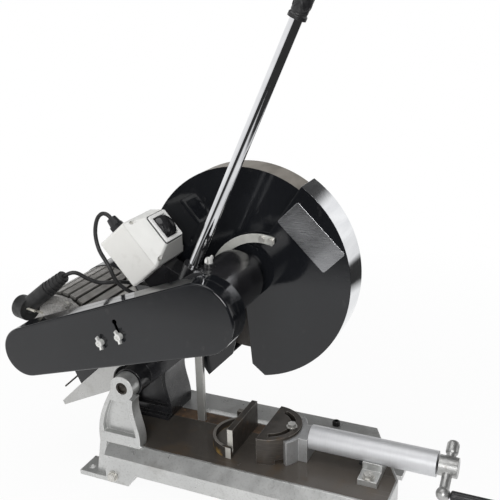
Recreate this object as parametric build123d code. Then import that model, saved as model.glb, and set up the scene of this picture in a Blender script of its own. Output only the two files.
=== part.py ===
from build123d import *
import os
from math import acos, atan2, cos, degrees, hypot, radians, sin, sqrt, tan

# Belt-driven metal cut-off saw on a cast base, arm raised. Millimetres.
# X runs along the base, Y away from the operator's side, Z up.
# The origin is the middle of the four foot holes, on the floor.

# Base
BED_HEIGHT = 88.0
BED_LEFT = -250.0
BED_RIGHT = 335.0
BED_HALF_WIDTH = 123.0
BED_THICKNESS = 13.0
BED_CUT_LENGTH = 84.0
BED_CUT_START = -39.0
SHOULDER_OUT = 20.0
SHOULDER_DROP = 26.0
BASE_WALL = 8.0
ARCH_HEIGHT = 29.0
ARCH_SLOPE = 20.0
LEG_LENGTH = 118.0
FOOT_LEFT = -315.0
FOOT_RIGHT = 315.0
FOOT_THICKNESS = 10.0
FOOT_WIDTH = 56.0
FOOT_HOLE_RADIUS = 6.5
FOOT_SPACING_X = 594.0
FOOT_SPACING_Y = 248.0
APRON_BOLT_RADIUS = 5.0
APRON_BOLT_INSET = 83.0
APRON_BOLT_Z = 16.0
PLATE_THICKNESS = 5.0
PLATE_MARGIN = 4.0
PLATE_SEAM_Y = 11.0
SLOT_EDGE = 3.0
FIT_GAP = 0.3
FACE_GAP = 0.2
RUN_GAP = 0.05
PRESS_GAP = 0.02
BOLT_WASHER = (2.4, 0.4)
BOLT_HEAD = (3.3, 1.3)
STUB = 0.1
OVERCUT = 1.0

# Pivot ears, shaft and bushes
PIVOT_X = -201.0
PIVOT_ABOVE_BED = 131.0
EAR_FRONT_FACE = -132.0
EAR_REAR_FACE = 86.0
EAR_PLATE = 26.0
REAR_EAR_FRONT = -2.0
REAR_EAR_LIP = 12.0
REAR_EAR_FOOT = 9.0
EAR_BOSS_RADIUS = 26.0
EAR_LEFT_EDGE = ((-63, 0), (-62, 34), (-53, 69), (-38, 102), (-26, 124))
EAR_RIGHT_EDGE = ((31, 0), (33, 27), (26, 60), (23, 108))
EAR_LEG_REACH = 28.0
EAR_RIM = 9.0
EAR_LEDGE = 24.0
EAR_RECESS = 12.0
SHAFT_RADIUS = 9.5
SHAFT_RECESS = 5.0
BUSH_WALL = 3.5
BUSH_INSET = 1.0

# Arm
ARM_REACH = 294.4
ARM_ANGLE = 47.5
ARM_DROP_ANGLE = 40.5
SLEEVE_RADIUS = 30.0
SLEEVE_END_GAP = 2.0
SPRING_FRONT = -38.0
SPRING_CORE = 22.0
SPRING_ROOM = 38.0
WEB_FRONT = -66.0
WEB_BACK = -6.0
WEB_POCKET_DEPTH = 22.0
WEB_POCKET_SPAN = (0.24, 0.66)
WEB_POCKET_SHARE = (0.55, 0.9)
COLLAR_RADIUS = 56.0
COLLAR_BACK = -60.0
WING_ANGLE = 94.0
WING_Y = -106.0
WING_SHANK = 5.0
WING_BOSS = 10.0
WING_HUB = 6.5
WING_RECESS = 3.0
WING_BOSS_RISE = 6.0
WING_SIZE = (11.0, 4.5, 8.0)
WING_ROUND = 2.0
WING_OFFSET = 7.5
WING_LIFT = 6.5
WING_TILT = 14.0
LUG_THICKNESS = 14.0
LUG_PLAY_ANGLE = 2.0
STOP_FRONT = 12.0
STOP_DEPTH = 9.0
STOP_WIDTH = 17.0
STOP_X = -104.0
STOP_HEIGHT = 174.0
STOP_ROUND = 3.0

# Cut-off wheel, spindle and its housing
WHEEL_RADIUS = 175.0
WHEEL_THICKNESS = 3.2
WHEEL_Y = 57.0
FLANGE_RADIUS = 45.0
FLANGE_THICKNESS = 8.4
SPINDLE_RADIUS = 15.0
NOSE_RADIUS = 12.5
SPINDLE_COLLAR_RADIUS = 22.0
SPINDLE_COLLAR = 9.0
SHAFT_STEP = 2.0
NUT_ACROSS = 36.0
NUT_LENGTH = 14.0
HOUSING_RADIUS = 44.0
BEARING_OUTER = 31.0
BEARING_WIDTH = 16.0
BEARING_INSET = 8.0
SLOT_WIDTH = 14.0
SLOT_LEFT = -113.0
SLOT_RIGHT = 158.0

# Wheel guards, sheet steel
SHEET = 2.0
FIXED_GUARD_RADIUS = 210.0
FIXED_GUARD_HALF = 29.0
MOVING_GUARD_RADIUS = 220.0
MOVING_GUARD_STEP = 6.0
SEAM_ANGLE = 56.0
GUARD_OVERLAP = 6.0
GUARD_LOW_ANGLE = -85.0
GUARD_CORNER = 25.0
CHUTE_ANGLE = 215.0
CHUTE_LENGTH = 149.0
CHUTE_MOUTH = (-29.75, -183.75)
CHUTE_OVERCUT = 20.0
GUARD_HUB_RADIUS = 62.0
BACK_BOSS_RADIUS = 30.0
BACK_BOSS_WALL = 8.0
STRAP_WIDTH = 17.0
STRAP_THICKNESS = 4.0
STRAP_POINTS = ((-52, 18), (-10, 63), (68, 71))
STRAP_BOLT_SPOTS = (0.97, 0.84)
STRAP_BOLT_RADIUS = 3.0

# Belt drive
BELT_CENTRES = 402.0
BELT_ANGLE = 20.7
GUARD_FACE = -193.0
GUARD_BACK = -141.0
PAN_DEPTH = 24.0
GUARD_BIG_RADIUS = 67.0
GUARD_SMALL_RADIUS = 51.0
GUARD_BIG_SHIFT = (14.0, -11.0)
PAN_START = 80.0
PULLEY_WIDTH = 18.0
PULLEY_Y = -166.0
BELT_WIDTH = 10.0
BELT_HEIGHT = 6.0
GROOVE_GAP = 0.5
SPINDLE_PULLEY_RADIUS = 34.0
MOTOR_PULLEY_RADIUS = 44.0
STUD_RADIUS = 5.0
STUD_SPOTS = ((193.8, 16.7), (239.8, 18.2))
KEYHOLE_LENGTH = 28.0
KEYHOLE_PLAY = 1.0
SHAFT_CLEARANCE = 4.0
GUARD_EDGE_RADIUS = 4.0

# Motor
MOTOR_FRONT = -75.0
MOTOR_BACK = 118.0
MOTOR_CORE_RADIUS = 71.0
MOTOR_FIN_RADIUS = 80.0
MOTOR_BORE = 62.0
MOTOR_BAND = 12.0
FIN_COUNT = 26
FIN_THICKNESS = 13.5
SHIELD_RING = 7.0
SHIELD_CAP = 8.0
SHIELD_CAP_RADIUS = 64.0
SHIELD_MARGIN = 2.0
TIE_CIRCLE = 72.0
TIE_ANGLE = 67.0
TIE_COUNT = 4
TIE_RADIUS = 3.0
TIE_LUG_RADIUS = 8.0
TIE_LUG_RISE = 4.0
MOTOR_SHAFT_RADIUS = 14.0
MOTOR_BEARING_RADIUS = 26.0
MOTOR_BEARING_WIDTH = 13.0
REAR_WALL = 15.0
BEARING_GROOVE = 1.0
STATOR_BORE = 42.0
AIR_GAP = 0.6
CORE_FRONT = -55.0
CORE_BACK = 85.0
FAN_COVER_BACK = 180.0
FAN_RADIUS = 68.0
FAN_BLADES = 9
FAN_DEPTH = 24.0
FAN_GAP = 6.0
FAN_HUB_WALL = 7.0
FAN_DISC = 2.0
FAN_BLADE = (20.0, 2.5)
FAN_SHAFT_END = 8.0
VENT_RINGS = (20.0, 38.0, 56.0)
VENTS_PER_RING = 6
VENT_RADIUS = 5.0
MOTOR_PLATE_ANGLE = 25.6
MOTOR_PLATE_LENGTH = 188.0
MOTOR_PLATE_THICKNESS = 10.0
MOTOR_PLATE_FRONT = -104.0
MOTOR_PLATE_BACK = 98.0
MOTOR_FOOT_START = 88.0
MOTOR_FOOT_END = 168.0
MOTOR_FOOT_SETBACK = 20.0
MOTOR_FOOT_MARGIN = 4.0
MOTOR_FOOT_TOP = 0.35
PLATE_NOTCH = 72.0
GUSSET_THICKNESS = 7.0
GUSSET_BORE = 37.0
GUSSET_RIM = ((179, 205.5), (183, 203.5), (128, 194), (77, 170), (62, 135), (52, 100))

# Handle
HANDLE_Y = -80.0
HANDLE_ANGLE = 64.9
HANDLE_OFFSET = 64.0
HANDLE_RADIUS = 11.0
HANDLE_LENGTH = 600.0
HANDLE_WALL = 2.5
HANDLE_IN_SOCKET = 40.0
SOCKET_WALL = 8.0
SOCKET_RISE = 18.0
GRIP_WALL = 4.0
GRIP_LENGTH = 104.0
GRIP_ROUND = 2.5

# Switch box
BOX_ANGLE = -49.1
BOX_CENTRE = (-215.7, -36.0, 462.2)
BOX_LENGTH = 106.0
BOX_WIDTH = 108.0
BOX_HEIGHT = 70.0
BOX_WALL = 2.5
BOX_CORNER = 5.0
BRACKET_ON_ARM = (165.0, 250.0)
BRACKET_ON_BOX = (4.0, 64.0)
BRACKET_WIDTH = (-58.0, -12.0)
LID_HEIGHT = 36.0
LID_TOP_LENGTH = 66.0
LID_TOP_WIDTH = 64.0
BEZEL_HEIGHT = 5.0
BEZEL_BORDER = 7.0
BEZEL_MARGIN = 6.0
BEZEL_CORNER = 4.0
ROCKER_RISE = 18.0
ROCKER_CORNER = 10.0
ROCKER_DOME = 32.0
ROCKER_PLAY = (4.0, 2.0)
LID_POST_INSET = 10.0
LID_POST_RADIUS = 6.0
LID_POST_HEIGHT = 16.0
LID_SCREW_RADIUS = 2.0
LID_SCREW_HEAD = 3.8
LID_SCREW_SEAT = 7.0
LID_SHIFT = (-2.0, -1.0)
ROCKER_PIN_UP = 3.0
ROCKER_PIN_RADIUS = 1.2
ROCKER_PIN_GRIP = 1.2
GLAND_Y = -39.0
GLAND_UP = 46.5
GLAND_RADIUS = 13.0
GLAND_TIP_RADIUS = 9.5
GLAND_LENGTH = 25.0
GLAND_HEX_LENGTH = 8.75
GLAND_ROUND = 2.5
GLAND_BORE_START = 2.0

# Power cord and plug
CORD_RADIUS = 4.0
PLUG_HEAD = (-429.0, -118.0, 353.0)
PLUG_TAIL = (-337.0, -100.0, 428.0)
PLUG_RADIUS = 17.0
PLUG_BODY_SHARE = 0.6
PLUG_HEAD_RADIUS = 24.5
PLUG_HEAD_DEPTH = 30.0
PLUG_FACING = (0.97, -0.24, 0.0)
RELIEF_RADIUS = 15.0
RELIEF_TIP_RADIUS = 11.0
RELIEF_RIBS = 5
RELIEF_RIB_RISE = 1.5
RELIEF_RIB_WIDTH = 4.0
PIN_RADIUS = 2.6
PIN_LENGTH = 26.0
PIN_DEPTH = 8.0
PIN_SPACING = 19.0
PIN_LEAN = 30.0
CORD_IN_PLUG = 10.0
CORD_BEFORE_PLUG = 4.0
CORD_IN_GLAND = 10.0
CORD_PAST_GLAND = 1.0
CORD_ROUTE = ((-240, -75, 558.5), (-251, -75, 559.5), (-261, -76, 551), (-267.5, -76, 536), (-270, -77, 518),
              (-267, -79, 500), (-260, -81, 482), (-247, -83, 466), (-236, -84, 450), (-231, -82, 431),
              (-223, -76, 415), (-211, -66, 401), (-198, -52, 389), (-186.5, -35, 381), (-178.5, -20, 378),
              (-178.5, -5, 378), (-186, 8, 379.5), (-199.5, 15.5, 381.5), (-214.5, 14.5, 385),
              (-227, 6.5, 388.5), (-236, -6.5, 392), (-246, -24, 400), (-257, -40, 405), (-268, -53, 406),
              (-282, -64, 408), (-293, -72, 415), (-303, -79, 422), (-313, -85.5, 431.5), (-322, -92, 435))


# Vise
VISE_Y = -22.0
FIXED_FACE = 16.0
JAW_GAP = 52.0
JAW_PLATE = 12.0
FIXED_JAW_HALF = 61.0
FIXED_JAW_HEIGHT = 58.0
FIXED_DISC_RADIUS = 62.0
FIXED_DISC_HEIGHT = 10.0
FIXED_DISC_SHIFT = -10.0
FIXED_RIM = 6.0
FIXED_RIM_HEIGHT = 24.0
FIXED_HEEL = ((-20.0, 4.0), (15.0, 26.0))
FIXED_HEEL_HEIGHT = 40.0
FIXED_SLOT_RADIUS = 34.0
FIXED_SLOT_HALF_ANGLE = 54.0
JAW_SLOT_RADIUS = 49.0
JAW_SLOT_WIDTH = 10.0
JAW_SLOT_HALF_ANGLE = 70.0
JAW_BOLT_RADIUS = 4.5
MOVING_JAW_RADIUS = 66.0
MOVING_JAW_HEIGHT = 55.0
MOVING_JAW_TOP = 10.0
MOVING_JAW_WALL = 9.0
SHOE_HEIGHT = 8.0
SHOE_HALF_WIDTH = 11.0
WINDOW_HALF_ANGLE = 58.0
HEAD_RIGHT = 90.0
HEAD_HALF_WIDTH = 27.0
HEAD_HEIGHT = 50.0
CRADLE_WALL = 11.0
CRADLE_HALF_ANGLE = 43.0
TUBE_RADIUS = 24.0
TUBE_WALL = 4.0
TUBE_LENGTH = 244.0
TUBE_ABOVE_BED = 43.0
SCREW_RADIUS = 8.0
TUBE_END = 10.0
SCREW_INSET = 6.0
TUBE_SLOT_PLAY = 2.0
BRACKET_LEFT = BED_RIGHT - 68.0
BRACKET_LENGTH = 37.0
BRACKET_HALF_WIDTH = 56.0
BRACKET_THICKNESS = 12.0
BRACKET_BOLT_INSET = 11.0
BRACKET_BOLT_RADIUS = 5.0
CRADLE_HALF_WIDTH = 22.0
CRADLE_HEIGHT = 28.0
NUT_POST_WIDTH = 12.0
NUT_POST_MARGIN = 3.0
NUT_RADIUS = 18.0
RAM_OPEN = 85.0
RAM_CLOSE = 50.0
CRANK_GAP = 3.0
CRANK_HUB_RADIUS = 19.0
CRANK_HUB_LENGTH = 34.0
CRANK_ANGLE = 28.5
CRANK_LONG = 55.0
CRANK_SHORT = 50.0
CRANK_ARM_RADIUS = 9.0
CRANK_BALL_RADIUS = 13.0
CRANK_KNOB_RADIUS = 11.5
CRANK_KNOB_LENGTH = 26.0
CRANK_END_WALL = 4.0
CRANK_GRIP_RADIUS = 9.5
CRANK_GRIP_LENGTH = 92.0
CRANK_GRIP_ROUND = 2.0

# Places that follow from the sizes above
PIVOT = (PIVOT_X, BED_HEIGHT + PIVOT_ABOVE_BED)
SPINDLE = (PIVOT[0] + ARM_REACH * cos(radians(ARM_ANGLE)), PIVOT[1] + ARM_REACH * sin(radians(ARM_ANGLE)))
MOTOR = (SPINDLE[0] - BELT_CENTRES * cos(radians(BELT_ANGLE)),
         SPINDLE[1] - BELT_CENTRES * sin(radians(BELT_ANGLE)))
GUARD_BIG = (SPINDLE[0] + GUARD_BIG_SHIFT[0], SPINDLE[1] + GUARD_BIG_SHIFT[1])
FIXED_GUARD_FRONT = WHEEL_Y - FIXED_GUARD_HALF
FIXED_GUARD_BACK = WHEEL_Y + FIXED_GUARD_HALF
MOVING_GUARD_FRONT = FIXED_GUARD_FRONT - MOVING_GUARD_STEP
MOVING_GUARD_BACK = FIXED_GUARD_BACK + MOVING_GUARD_STEP + OVERCUT
WHEEL_FRONT = WHEEL_Y - WHEEL_THICKNESS / 2
WHEEL_BACK = WHEEL_Y + WHEEL_THICKNESS / 2
SLOT_FRONT = WHEEL_Y - SLOT_WIDTH / 2
MOVING_FACE = FIXED_FACE + JAW_GAP
TUBE_Z = BED_HEIGHT + TUBE_ABOVE_BED
TUBE_LEFT = MOVING_FACE + HEAD_RIGHT + FACE_GAP
TUBE_RIGHT = TUBE_LEFT + TUBE_LENGTH
CRANK_LEFT = TUBE_RIGHT + CRANK_GAP
BUSH_RADIUS = SHAFT_RADIUS + BUSH_WALL
HANDLE_FOOT = (SPINDLE[0] - HANDLE_OFFSET * sin(radians(HANDLE_ANGLE)),
               SPINDLE[1] + HANDLE_OFFSET * cos(radians(HANDLE_ANGLE)))
FAN_COVER_RADIUS = MOTOR_FIN_RADIUS + SHEET


def polar(centre, radius, angle):
    """Point on a circle in the X-Z plane, the angle in degrees from +X towards +Z."""
    return (centre[0] + radius * cos(radians(angle)), centre[1] + radius * sin(radians(angle)))


def side(y):
    """Sketch plane at this Y, with X to the right and Z up."""
    return Plane(origin=(0, y, 0), x_dir=(1, 0, 0), z_dir=(0, -1, 0))


def slab(face, front, back):
    """Solid with an X-Z outline, from y = front to y = back."""
    return extrude(side(back) * face, amount=back - front, dir=(0, -1, 0))


def rod_y(centre, radius, front, back):
    return slab(Pos(*centre) * Circle(radius), front, back)


def tube_y(centre, outer, inner, front, back):
    return slab(Pos(*centre) * (Circle(outer) - Circle(inner)), front, back)


def rod(start, end, radius):
    """Round bar between two points."""
    axis = Vector(*end) - Vector(*start)
    return extrude(Plane(origin=start, z_dir=axis) * Circle(radius), amount=axis.length)


def hexagon(start, direction, across, length):
    """Hexagon bar from a point along a direction."""
    return extrude(Plane(origin=start, z_dir=direction) * RegularPolygon(across / 2, 6, major_radius=False),
                   amount=length)


def hex_bolt(seat, direction, shank_radius, shank_length):
    """Hexagon-headed bolt with a washer. The seat is where the washer bears, the direction points out."""
    out = Vector(*direction).normalized()
    seat = Vector(*seat)
    washer_radius, washer = (shank_radius * share for share in BOLT_WASHER)
    across, head = (shank_radius * share for share in BOLT_HEAD)
    bolt = rod(tuple(seat - out * shank_length), tuple(seat), shank_radius)
    bolt += rod(tuple(seat), tuple(seat + out * washer), washer_radius)
    return bolt + hexagon(tuple(seat + out * washer), tuple(out), across, head)


def block(x_range, y_range, z_range):
    """Box between two values on each axis."""
    size = (x_range[1] - x_range[0], y_range[1] - y_range[0], z_range[1] - z_range[0])
    return Pos(x_range[0], y_range[0], z_range[0]) * Box(*size, align=(Align.MIN, Align.MIN, Align.MIN))


def loop_face(centre_a, radius_a, centre_b, radius_b):
    """Outline of a belt drawn round two circles: two tangents and two arcs."""
    length = hypot(centre_b[0] - centre_a[0], centre_b[1] - centre_a[1])
    heading = degrees(atan2(centre_b[1] - centre_a[1], centre_b[0] - centre_a[0]))
    spread = degrees(acos((radius_a - radius_b) / length))
    a_up = polar(centre_a, radius_a, heading + spread)
    b_up = polar(centre_b, radius_b, heading + spread)
    a_low = polar(centre_a, radius_a, heading - spread)
    b_low = polar(centre_b, radius_b, heading - spread)
    edges = [Line(a_up, b_up), ThreePointArc(b_up, polar(centre_b, radius_b, heading), b_low),
             Line(b_low, a_low), ThreePointArc(a_low, polar(centre_a, radius_a, heading + 180), a_up)]
    return make_face(edges)


def arc(centre, radius, start, end):
    return ThreePointArc(polar(centre, radius, start), polar(centre, radius, (start + end) / 2),
                         polar(centre, radius, end))


def lengthwise(origin, angle, length, width):
    """Rectangle that starts at a point and runs along an angle, its width spread both ways."""
    return Pos(*origin) * Rot(0, 0, angle) * Pos(length / 2, 0) * Rectangle(length, width)


def curved_slot(centre, radius, width, middle, half_angle):
    """Plan outline of a curved slot about a centre, on the X-Y plane."""
    path = arc(centre, radius, middle - half_angle, middle + half_angle)
    return trace(path, width)


def bed_outline(widen, shrink):
    """Plan of the bed, widened front and back, then shrunk evenly. The right rear corner is cut off."""
    half = BED_HALF_WIDTH + widen
    cut_length = BED_CUT_LENGTH * (half - BED_CUT_START) / (BED_HALF_WIDTH - BED_CUT_START)
    points = [(BED_LEFT, -half), (BED_RIGHT, -half), (BED_RIGHT, BED_CUT_START),
              (BED_RIGHT - cut_length, half), (BED_LEFT, half)]
    outline = Polygon(*points, align=None)
    return offset(outline, amount=-shrink, kind=Kind.INTERSECTION) if shrink else outline


def plate_outline(front, back, shrink):
    """Plan of a plate let into the bed between two Y values, clear of the bed's edge."""
    area = Pos(BED_LEFT, front) * Rectangle(BED_RIGHT - BED_LEFT, back - front, align=(Align.MIN, Align.MIN))
    return offset(area & bed_outline(0, PLATE_MARGIN), amount=-shrink, kind=Kind.INTERSECTION)


def make_base_frame():
    """Hollow base: flat bed, sloped shoulders front and back, apron with an arch, four feet."""
    shoulder_z = BED_HEIGHT - SHOULDER_DROP
    shoulder = bed_outline(SHOULDER_OUT, 0)
    outer = loft([Pos(0, 0, shoulder_z) * shoulder, Pos(0, 0, BED_HEIGHT) * bed_outline(0, 0)], ruled=True)
    outer += extrude(shoulder, amount=shoulder_z)
    inner_low = bed_outline(SHOULDER_OUT, BASE_WALL)
    inner_z = shoulder_z - BASE_WALL / 2
    inner = extrude(inner_low, amount=inner_z)
    inner += loft([Pos(0, 0, inner_z) * inner_low,
                   Pos(0, 0, BED_HEIGHT - BED_THICKNESS) * bed_outline(0, BASE_WALL)], ruled=True)
    reach = 2 * BED_HALF_WIDTH
    left, right = FOOT_LEFT + LEG_LENGTH, FOOT_RIGHT - LEG_LENGTH
    arch = Polygon((left, -OVERCUT), (left + ARCH_SLOPE, ARCH_HEIGHT), (right - ARCH_SLOPE, ARCH_HEIGHT),
                   (right, -OVERCUT), align=None)
    foot_back = BED_HALF_WIDTH + SHOULDER_OUT
    foot_front = foot_back - FOOT_WIDTH
    end_arch = block((2 * FOOT_LEFT, 2 * FOOT_RIGHT), (-foot_front, foot_front), (-OVERCUT, ARCH_HEIGHT))
    frame = outer - inner - slab(arch, -reach, reach) - end_arch
    for x_range in ((FOOT_LEFT, left), (right, FOOT_RIGHT)):
        for y_range in ((-foot_back, -foot_front), (foot_front, foot_back)):
            frame += block(x_range, y_range, (0, FOOT_THICKNESS))
    for x in (-FOOT_SPACING_X / 2, FOOT_SPACING_X / 2):
        for y in (-FOOT_SPACING_Y / 2, FOOT_SPACING_Y / 2):
            frame -= Pos(x, y) * Cylinder(FOOT_HOLE_RADIUS, 4 * FOOT_THICKNESS)
    for x, y, way in apron_bolt_spots():
        frame -= rod((x, y, APRON_BOLT_Z), (x, y - 2 * way * BASE_WALL, APRON_BOLT_Z), APRON_BOLT_RADIUS)
    slot = block((SLOT_LEFT, SLOT_RIGHT), (SLOT_FRONT, SLOT_FRONT + SLOT_WIDTH), (0, BED_HEIGHT + OVERCUT))
    pocket = plate_outline(-BED_HALF_WIDTH, SLOT_FRONT - SLOT_EDGE, 0)
    return frame - slot - raised(pocket, BED_HEIGHT - PLATE_THICKNESS, BED_HEIGHT)


def make_bed_plate():
    outline = plate_outline(-BED_HALF_WIDTH, PLATE_SEAM_Y, FIT_GAP)
    return raised(outline, BED_HEIGHT - PLATE_THICKNESS, BED_HEIGHT)


def make_rear_bed_strip():
    outline = plate_outline(PLATE_SEAM_Y, SLOT_FRONT - SLOT_EDGE, FIT_GAP)
    return raised(outline, BED_HEIGHT - PLATE_THICKNESS, BED_HEIGHT)


def apron_bolt_spots():
    """Where each leg's bolts bear on the apron: X, Y and which way they point."""
    depth = BED_HALF_WIDTH + SHOULDER_OUT
    ends = (FOOT_LEFT + APRON_BOLT_INSET, FOOT_RIGHT - APRON_BOLT_INSET)
    return [(x, way * depth, way) for x in ends for way in (-1, 1)]


def make_apron_bolts():
    """A hexagon bolt in the front and the back of each leg."""
    radius = APRON_BOLT_RADIUS - PRESS_GAP
    bolts = [hex_bolt((x, y, APRON_BOLT_Z), (0, way, 0), radius, BASE_WALL)
             for x, y, way in apron_bolt_spots()]
    return Compound(children=[bolt.solid() for bolt in bolts])


def ear_face(inset):
    """Side view of an ear below its boss: two curved edges from the bed up, both moved in by an inset."""
    left = [(PIVOT_X + x + inset, BED_HEIGHT + up) for x, up in EAR_LEFT_EDGE]
    right = [(PIVOT_X + x - inset, BED_HEIGHT + up) for x, up in EAR_RIGHT_EDGE]
    return make_face([Spline(*left), Line(left[-1], right[-1]), Spline(*right), Line(right[0], left[0])])


def ear_panel():
    """Outline of the hollow under an ear's boss."""
    low, high = BED_HEIGHT + EAR_LEDGE, PIVOT[1] - EAR_BOSS_RADIUS - EAR_RIM / 2
    area = Rectangle(4 * EAR_BOSS_RADIUS, high - low)
    return ear_face(EAR_RIM) & Pos(PIVOT_X, (low + high) / 2) * area


def ear(front, back):
    """Cast ear on the bed between two Y places, with a deep panel in its front face."""
    outline = ear_face(0) + Pos(*PIVOT) * Circle(EAR_BOSS_RADIUS)
    body = slab(outline, front, back) - slab(ear_panel(), front - OVERCUT, front + EAR_RECESS)
    return body - rod_y(PIVOT, BUSH_RADIUS, front, back)


def make_front_pivot_ear():
    """Front ear, with a leg that runs down past the end of the base to the foot."""
    left = PIVOT_X + EAR_LEFT_EDGE[0][0]
    right = BED_LEFT - FACE_GAP
    leg = Polygon((left, BED_HEIGHT), (BED_LEFT - EAR_LEG_REACH, FOOT_THICKNESS), (right, FOOT_THICKNESS),
                  (right, BED_HEIGHT + EAR_LEDGE), (left, BED_HEIGHT + EAR_LEDGE), align=None)
    back = EAR_FRONT_FACE + EAR_PLATE
    return ear(EAR_FRONT_FACE, back) + slab(leg, EAR_FRONT_FACE, back)


def make_rear_pivot_ear():
    """Deep rear ear, hollow from behind, with a foot that stands out in front."""
    left, right = (PIVOT_X + edge[0][0] for edge in (EAR_LEFT_EDGE, EAR_RIGHT_EDGE))
    body = ear(REAR_EAR_FRONT, EAR_REAR_FACE)
    body -= slab(ear_panel(), REAR_EAR_FRONT + 2 * EAR_RECESS, EAR_REAR_FACE + OVERCUT)
    return body + block((left, right), (REAR_EAR_FRONT - REAR_EAR_LIP, REAR_EAR_FRONT + EAR_RECESS),
                        (BED_HEIGHT, BED_HEIGHT + REAR_EAR_FOOT))


def make_pivot_shaft():
    return rod_y(PIVOT, SHAFT_RADIUS, EAR_FRONT_FACE + SHAFT_RECESS, EAR_REAR_FACE - SHAFT_RECESS)


def make_pivot_bushes():
    bore = SHAFT_RADIUS + PRESS_GAP
    outer = BUSH_RADIUS - PRESS_GAP
    front = tube_y(PIVOT, outer, bore, EAR_FRONT_FACE + BUSH_INSET, EAR_FRONT_FACE + EAR_PLATE)
    rear = tube_y(PIVOT, outer, bore, REAR_EAR_FRONT, EAR_REAR_FACE - BUSH_INSET)
    return Compound(children=[front.solid(), rear.solid()])


def make_stop_post():
    """Flat bar on a small foot, just left of the wheel slot's middle, clear of the guards."""
    x_range = (STOP_X - STOP_WIDTH / 2, STOP_X + STOP_WIDTH / 2)
    post = block(x_range, (STOP_FRONT, STOP_FRONT + STOP_DEPTH), (BED_HEIGHT, BED_HEIGHT + STOP_HEIGHT))
    top = post.edges().filter_by(Axis.Y).group_by(Axis.Z)[-1]
    return fillet(top, STOP_ROUND)


def arm_point(along, off):
    """Point in the X-Z plane on the arm's upper edge line: along it from the sleeve, off it outwards."""
    heading = ARM_ANGLE + degrees(asin_ratio(COLLAR_RADIUS - SLEEVE_RADIUS, ARM_REACH))
    start = polar(PIVOT, SLEEVE_RADIUS + off, heading + 90)
    return polar(start, along, heading)


def asin_ratio(rise, length):
    return atan2(rise, sqrt(length * length - rise * rise))


def handle_point(along):
    """Point on the handle's axis, measured from the foot beside the spindle."""
    x, z = polar(HANDLE_FOOT, along, HANDLE_ANGLE)
    return (x, HANDLE_Y, z)


def make_arm_casting():
    """Sleeve with room for the return spring, ribbed web, spindle collar, handle socket, stop lug."""
    sleeve_front = EAR_FRONT_FACE + EAR_PLATE + SLEEVE_END_GAP
    sleeve_back = REAR_EAR_FRONT - SLEEVE_END_GAP
    arm = slab(loop_face(PIVOT, SLEEVE_RADIUS, SPINDLE, COLLAR_RADIUS), WEB_FRONT, WEB_BACK)
    arm += rod_y(PIVOT, SLEEVE_RADIUS, sleeve_front, sleeve_back)
    arm -= tube_y(PIVOT, SPRING_ROOM, SPRING_CORE, SPRING_FRONT, sleeve_back)
    arm += rod_y(SPINDLE, COLLAR_RADIUS, GUARD_BACK, COLLAR_BACK)
    near, far = (polar(PIVOT, share * ARM_REACH, ARM_ANGLE) for share in WEB_POCKET_SPAN)
    near_radius, far_radius = (share * SLEEVE_RADIUS for share in WEB_POCKET_SHARE)
    pocket = loop_face(near, near_radius, far, far_radius)
    arm -= slab(pocket, WEB_FRONT, WEB_FRONT + WEB_POCKET_DEPTH)
    arm -= slab(pocket, WEB_BACK - WEB_POCKET_DEPTH, WEB_BACK)
    socket_foot = handle_point(-HANDLE_IN_SOCKET - SOCKET_WALL)
    arm += rod(socket_foot, handle_point(SOCKET_RISE), HANDLE_RADIUS + SOCKET_WALL)
    arm += make_stop_lug()
    arm += rod(wing_point(HOUSING_RADIUS + WING_SHANK), wing_point(COLLAR_RADIUS + WING_BOSS_RISE), WING_BOSS)
    arm -= rod_y(SPINDLE, HOUSING_RADIUS + PRESS_GAP, GUARD_BACK, COLLAR_BACK)
    arm -= rod_y(SPINDLE, HOUSING_RADIUS + OVERCUT, COLLAR_BACK, WEB_BACK)
    arm -= rod_y(PIVOT, SHAFT_RADIUS + RUN_GAP, sleeve_front, sleeve_back)
    socket_top = handle_point(SOCKET_RISE + OVERCUT)
    arm -= rod(handle_point(-HANDLE_IN_SOCKET), socket_top, HANDLE_RADIUS + PRESS_GAP)
    boss_top = COLLAR_RADIUS + WING_BOSS_RISE
    return arm - rod(wing_point(BEARING_OUTER), wing_point(boss_top + OVERCUT), WING_SHANK + PRESS_GAP)


def make_stop_lug():
    """Finger behind the web that comes down on the stop post when the arm is at the bottom."""
    top = (STOP_X, BED_HEIGHT + STOP_HEIGHT)
    reach = hypot(top[0] - PIVOT[0], top[1] - PIVOT[1])
    low = degrees(atan2(top[1] - PIVOT[1], top[0] - PIVOT[0])) + ARM_DROP_ANGLE + LUG_PLAY_ANGLE
    start = polar(PIVOT, LUG_THICKNESS / 2 + STOP_WIDTH / 2, low + 90)
    lug = lengthwise(start, low, reach + STOP_WIDTH / 2, LUG_THICKNESS)
    ends = (WEB_BACK - LUG_THICKNESS / 2, STOP_FRONT + STOP_DEPTH + OVERCUT)
    return slab(lug, *ends) - rod_y(PIVOT, SPRING_ROOM, *ends)


def wing_point(radius):
    x, z = polar(SPINDLE, radius, WING_ANGLE)
    return (x, WING_Y, z)


def wing_knob(plane):
    """Round hub on a plane, hollow at its end, with two rounded wings along the plane's x."""
    hub = Pos(0, 0, WING_BOSS / 2) * Cylinder(WING_HUB, WING_BOSS)
    wing = Box(*WING_SIZE)
    wing = fillet(wing.edges().filter_by(Axis.X), WING_ROUND)
    for turn in (-1, 1):
        hub += Pos(turn * WING_OFFSET, 0, WING_LIFT) * Rot(0, -turn * WING_TILT, 0) * wing
    return plane * (hub - Pos(0, 0, WING_BOSS) * Cylinder(WING_RECESS, WING_SIZE[1]))


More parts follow.
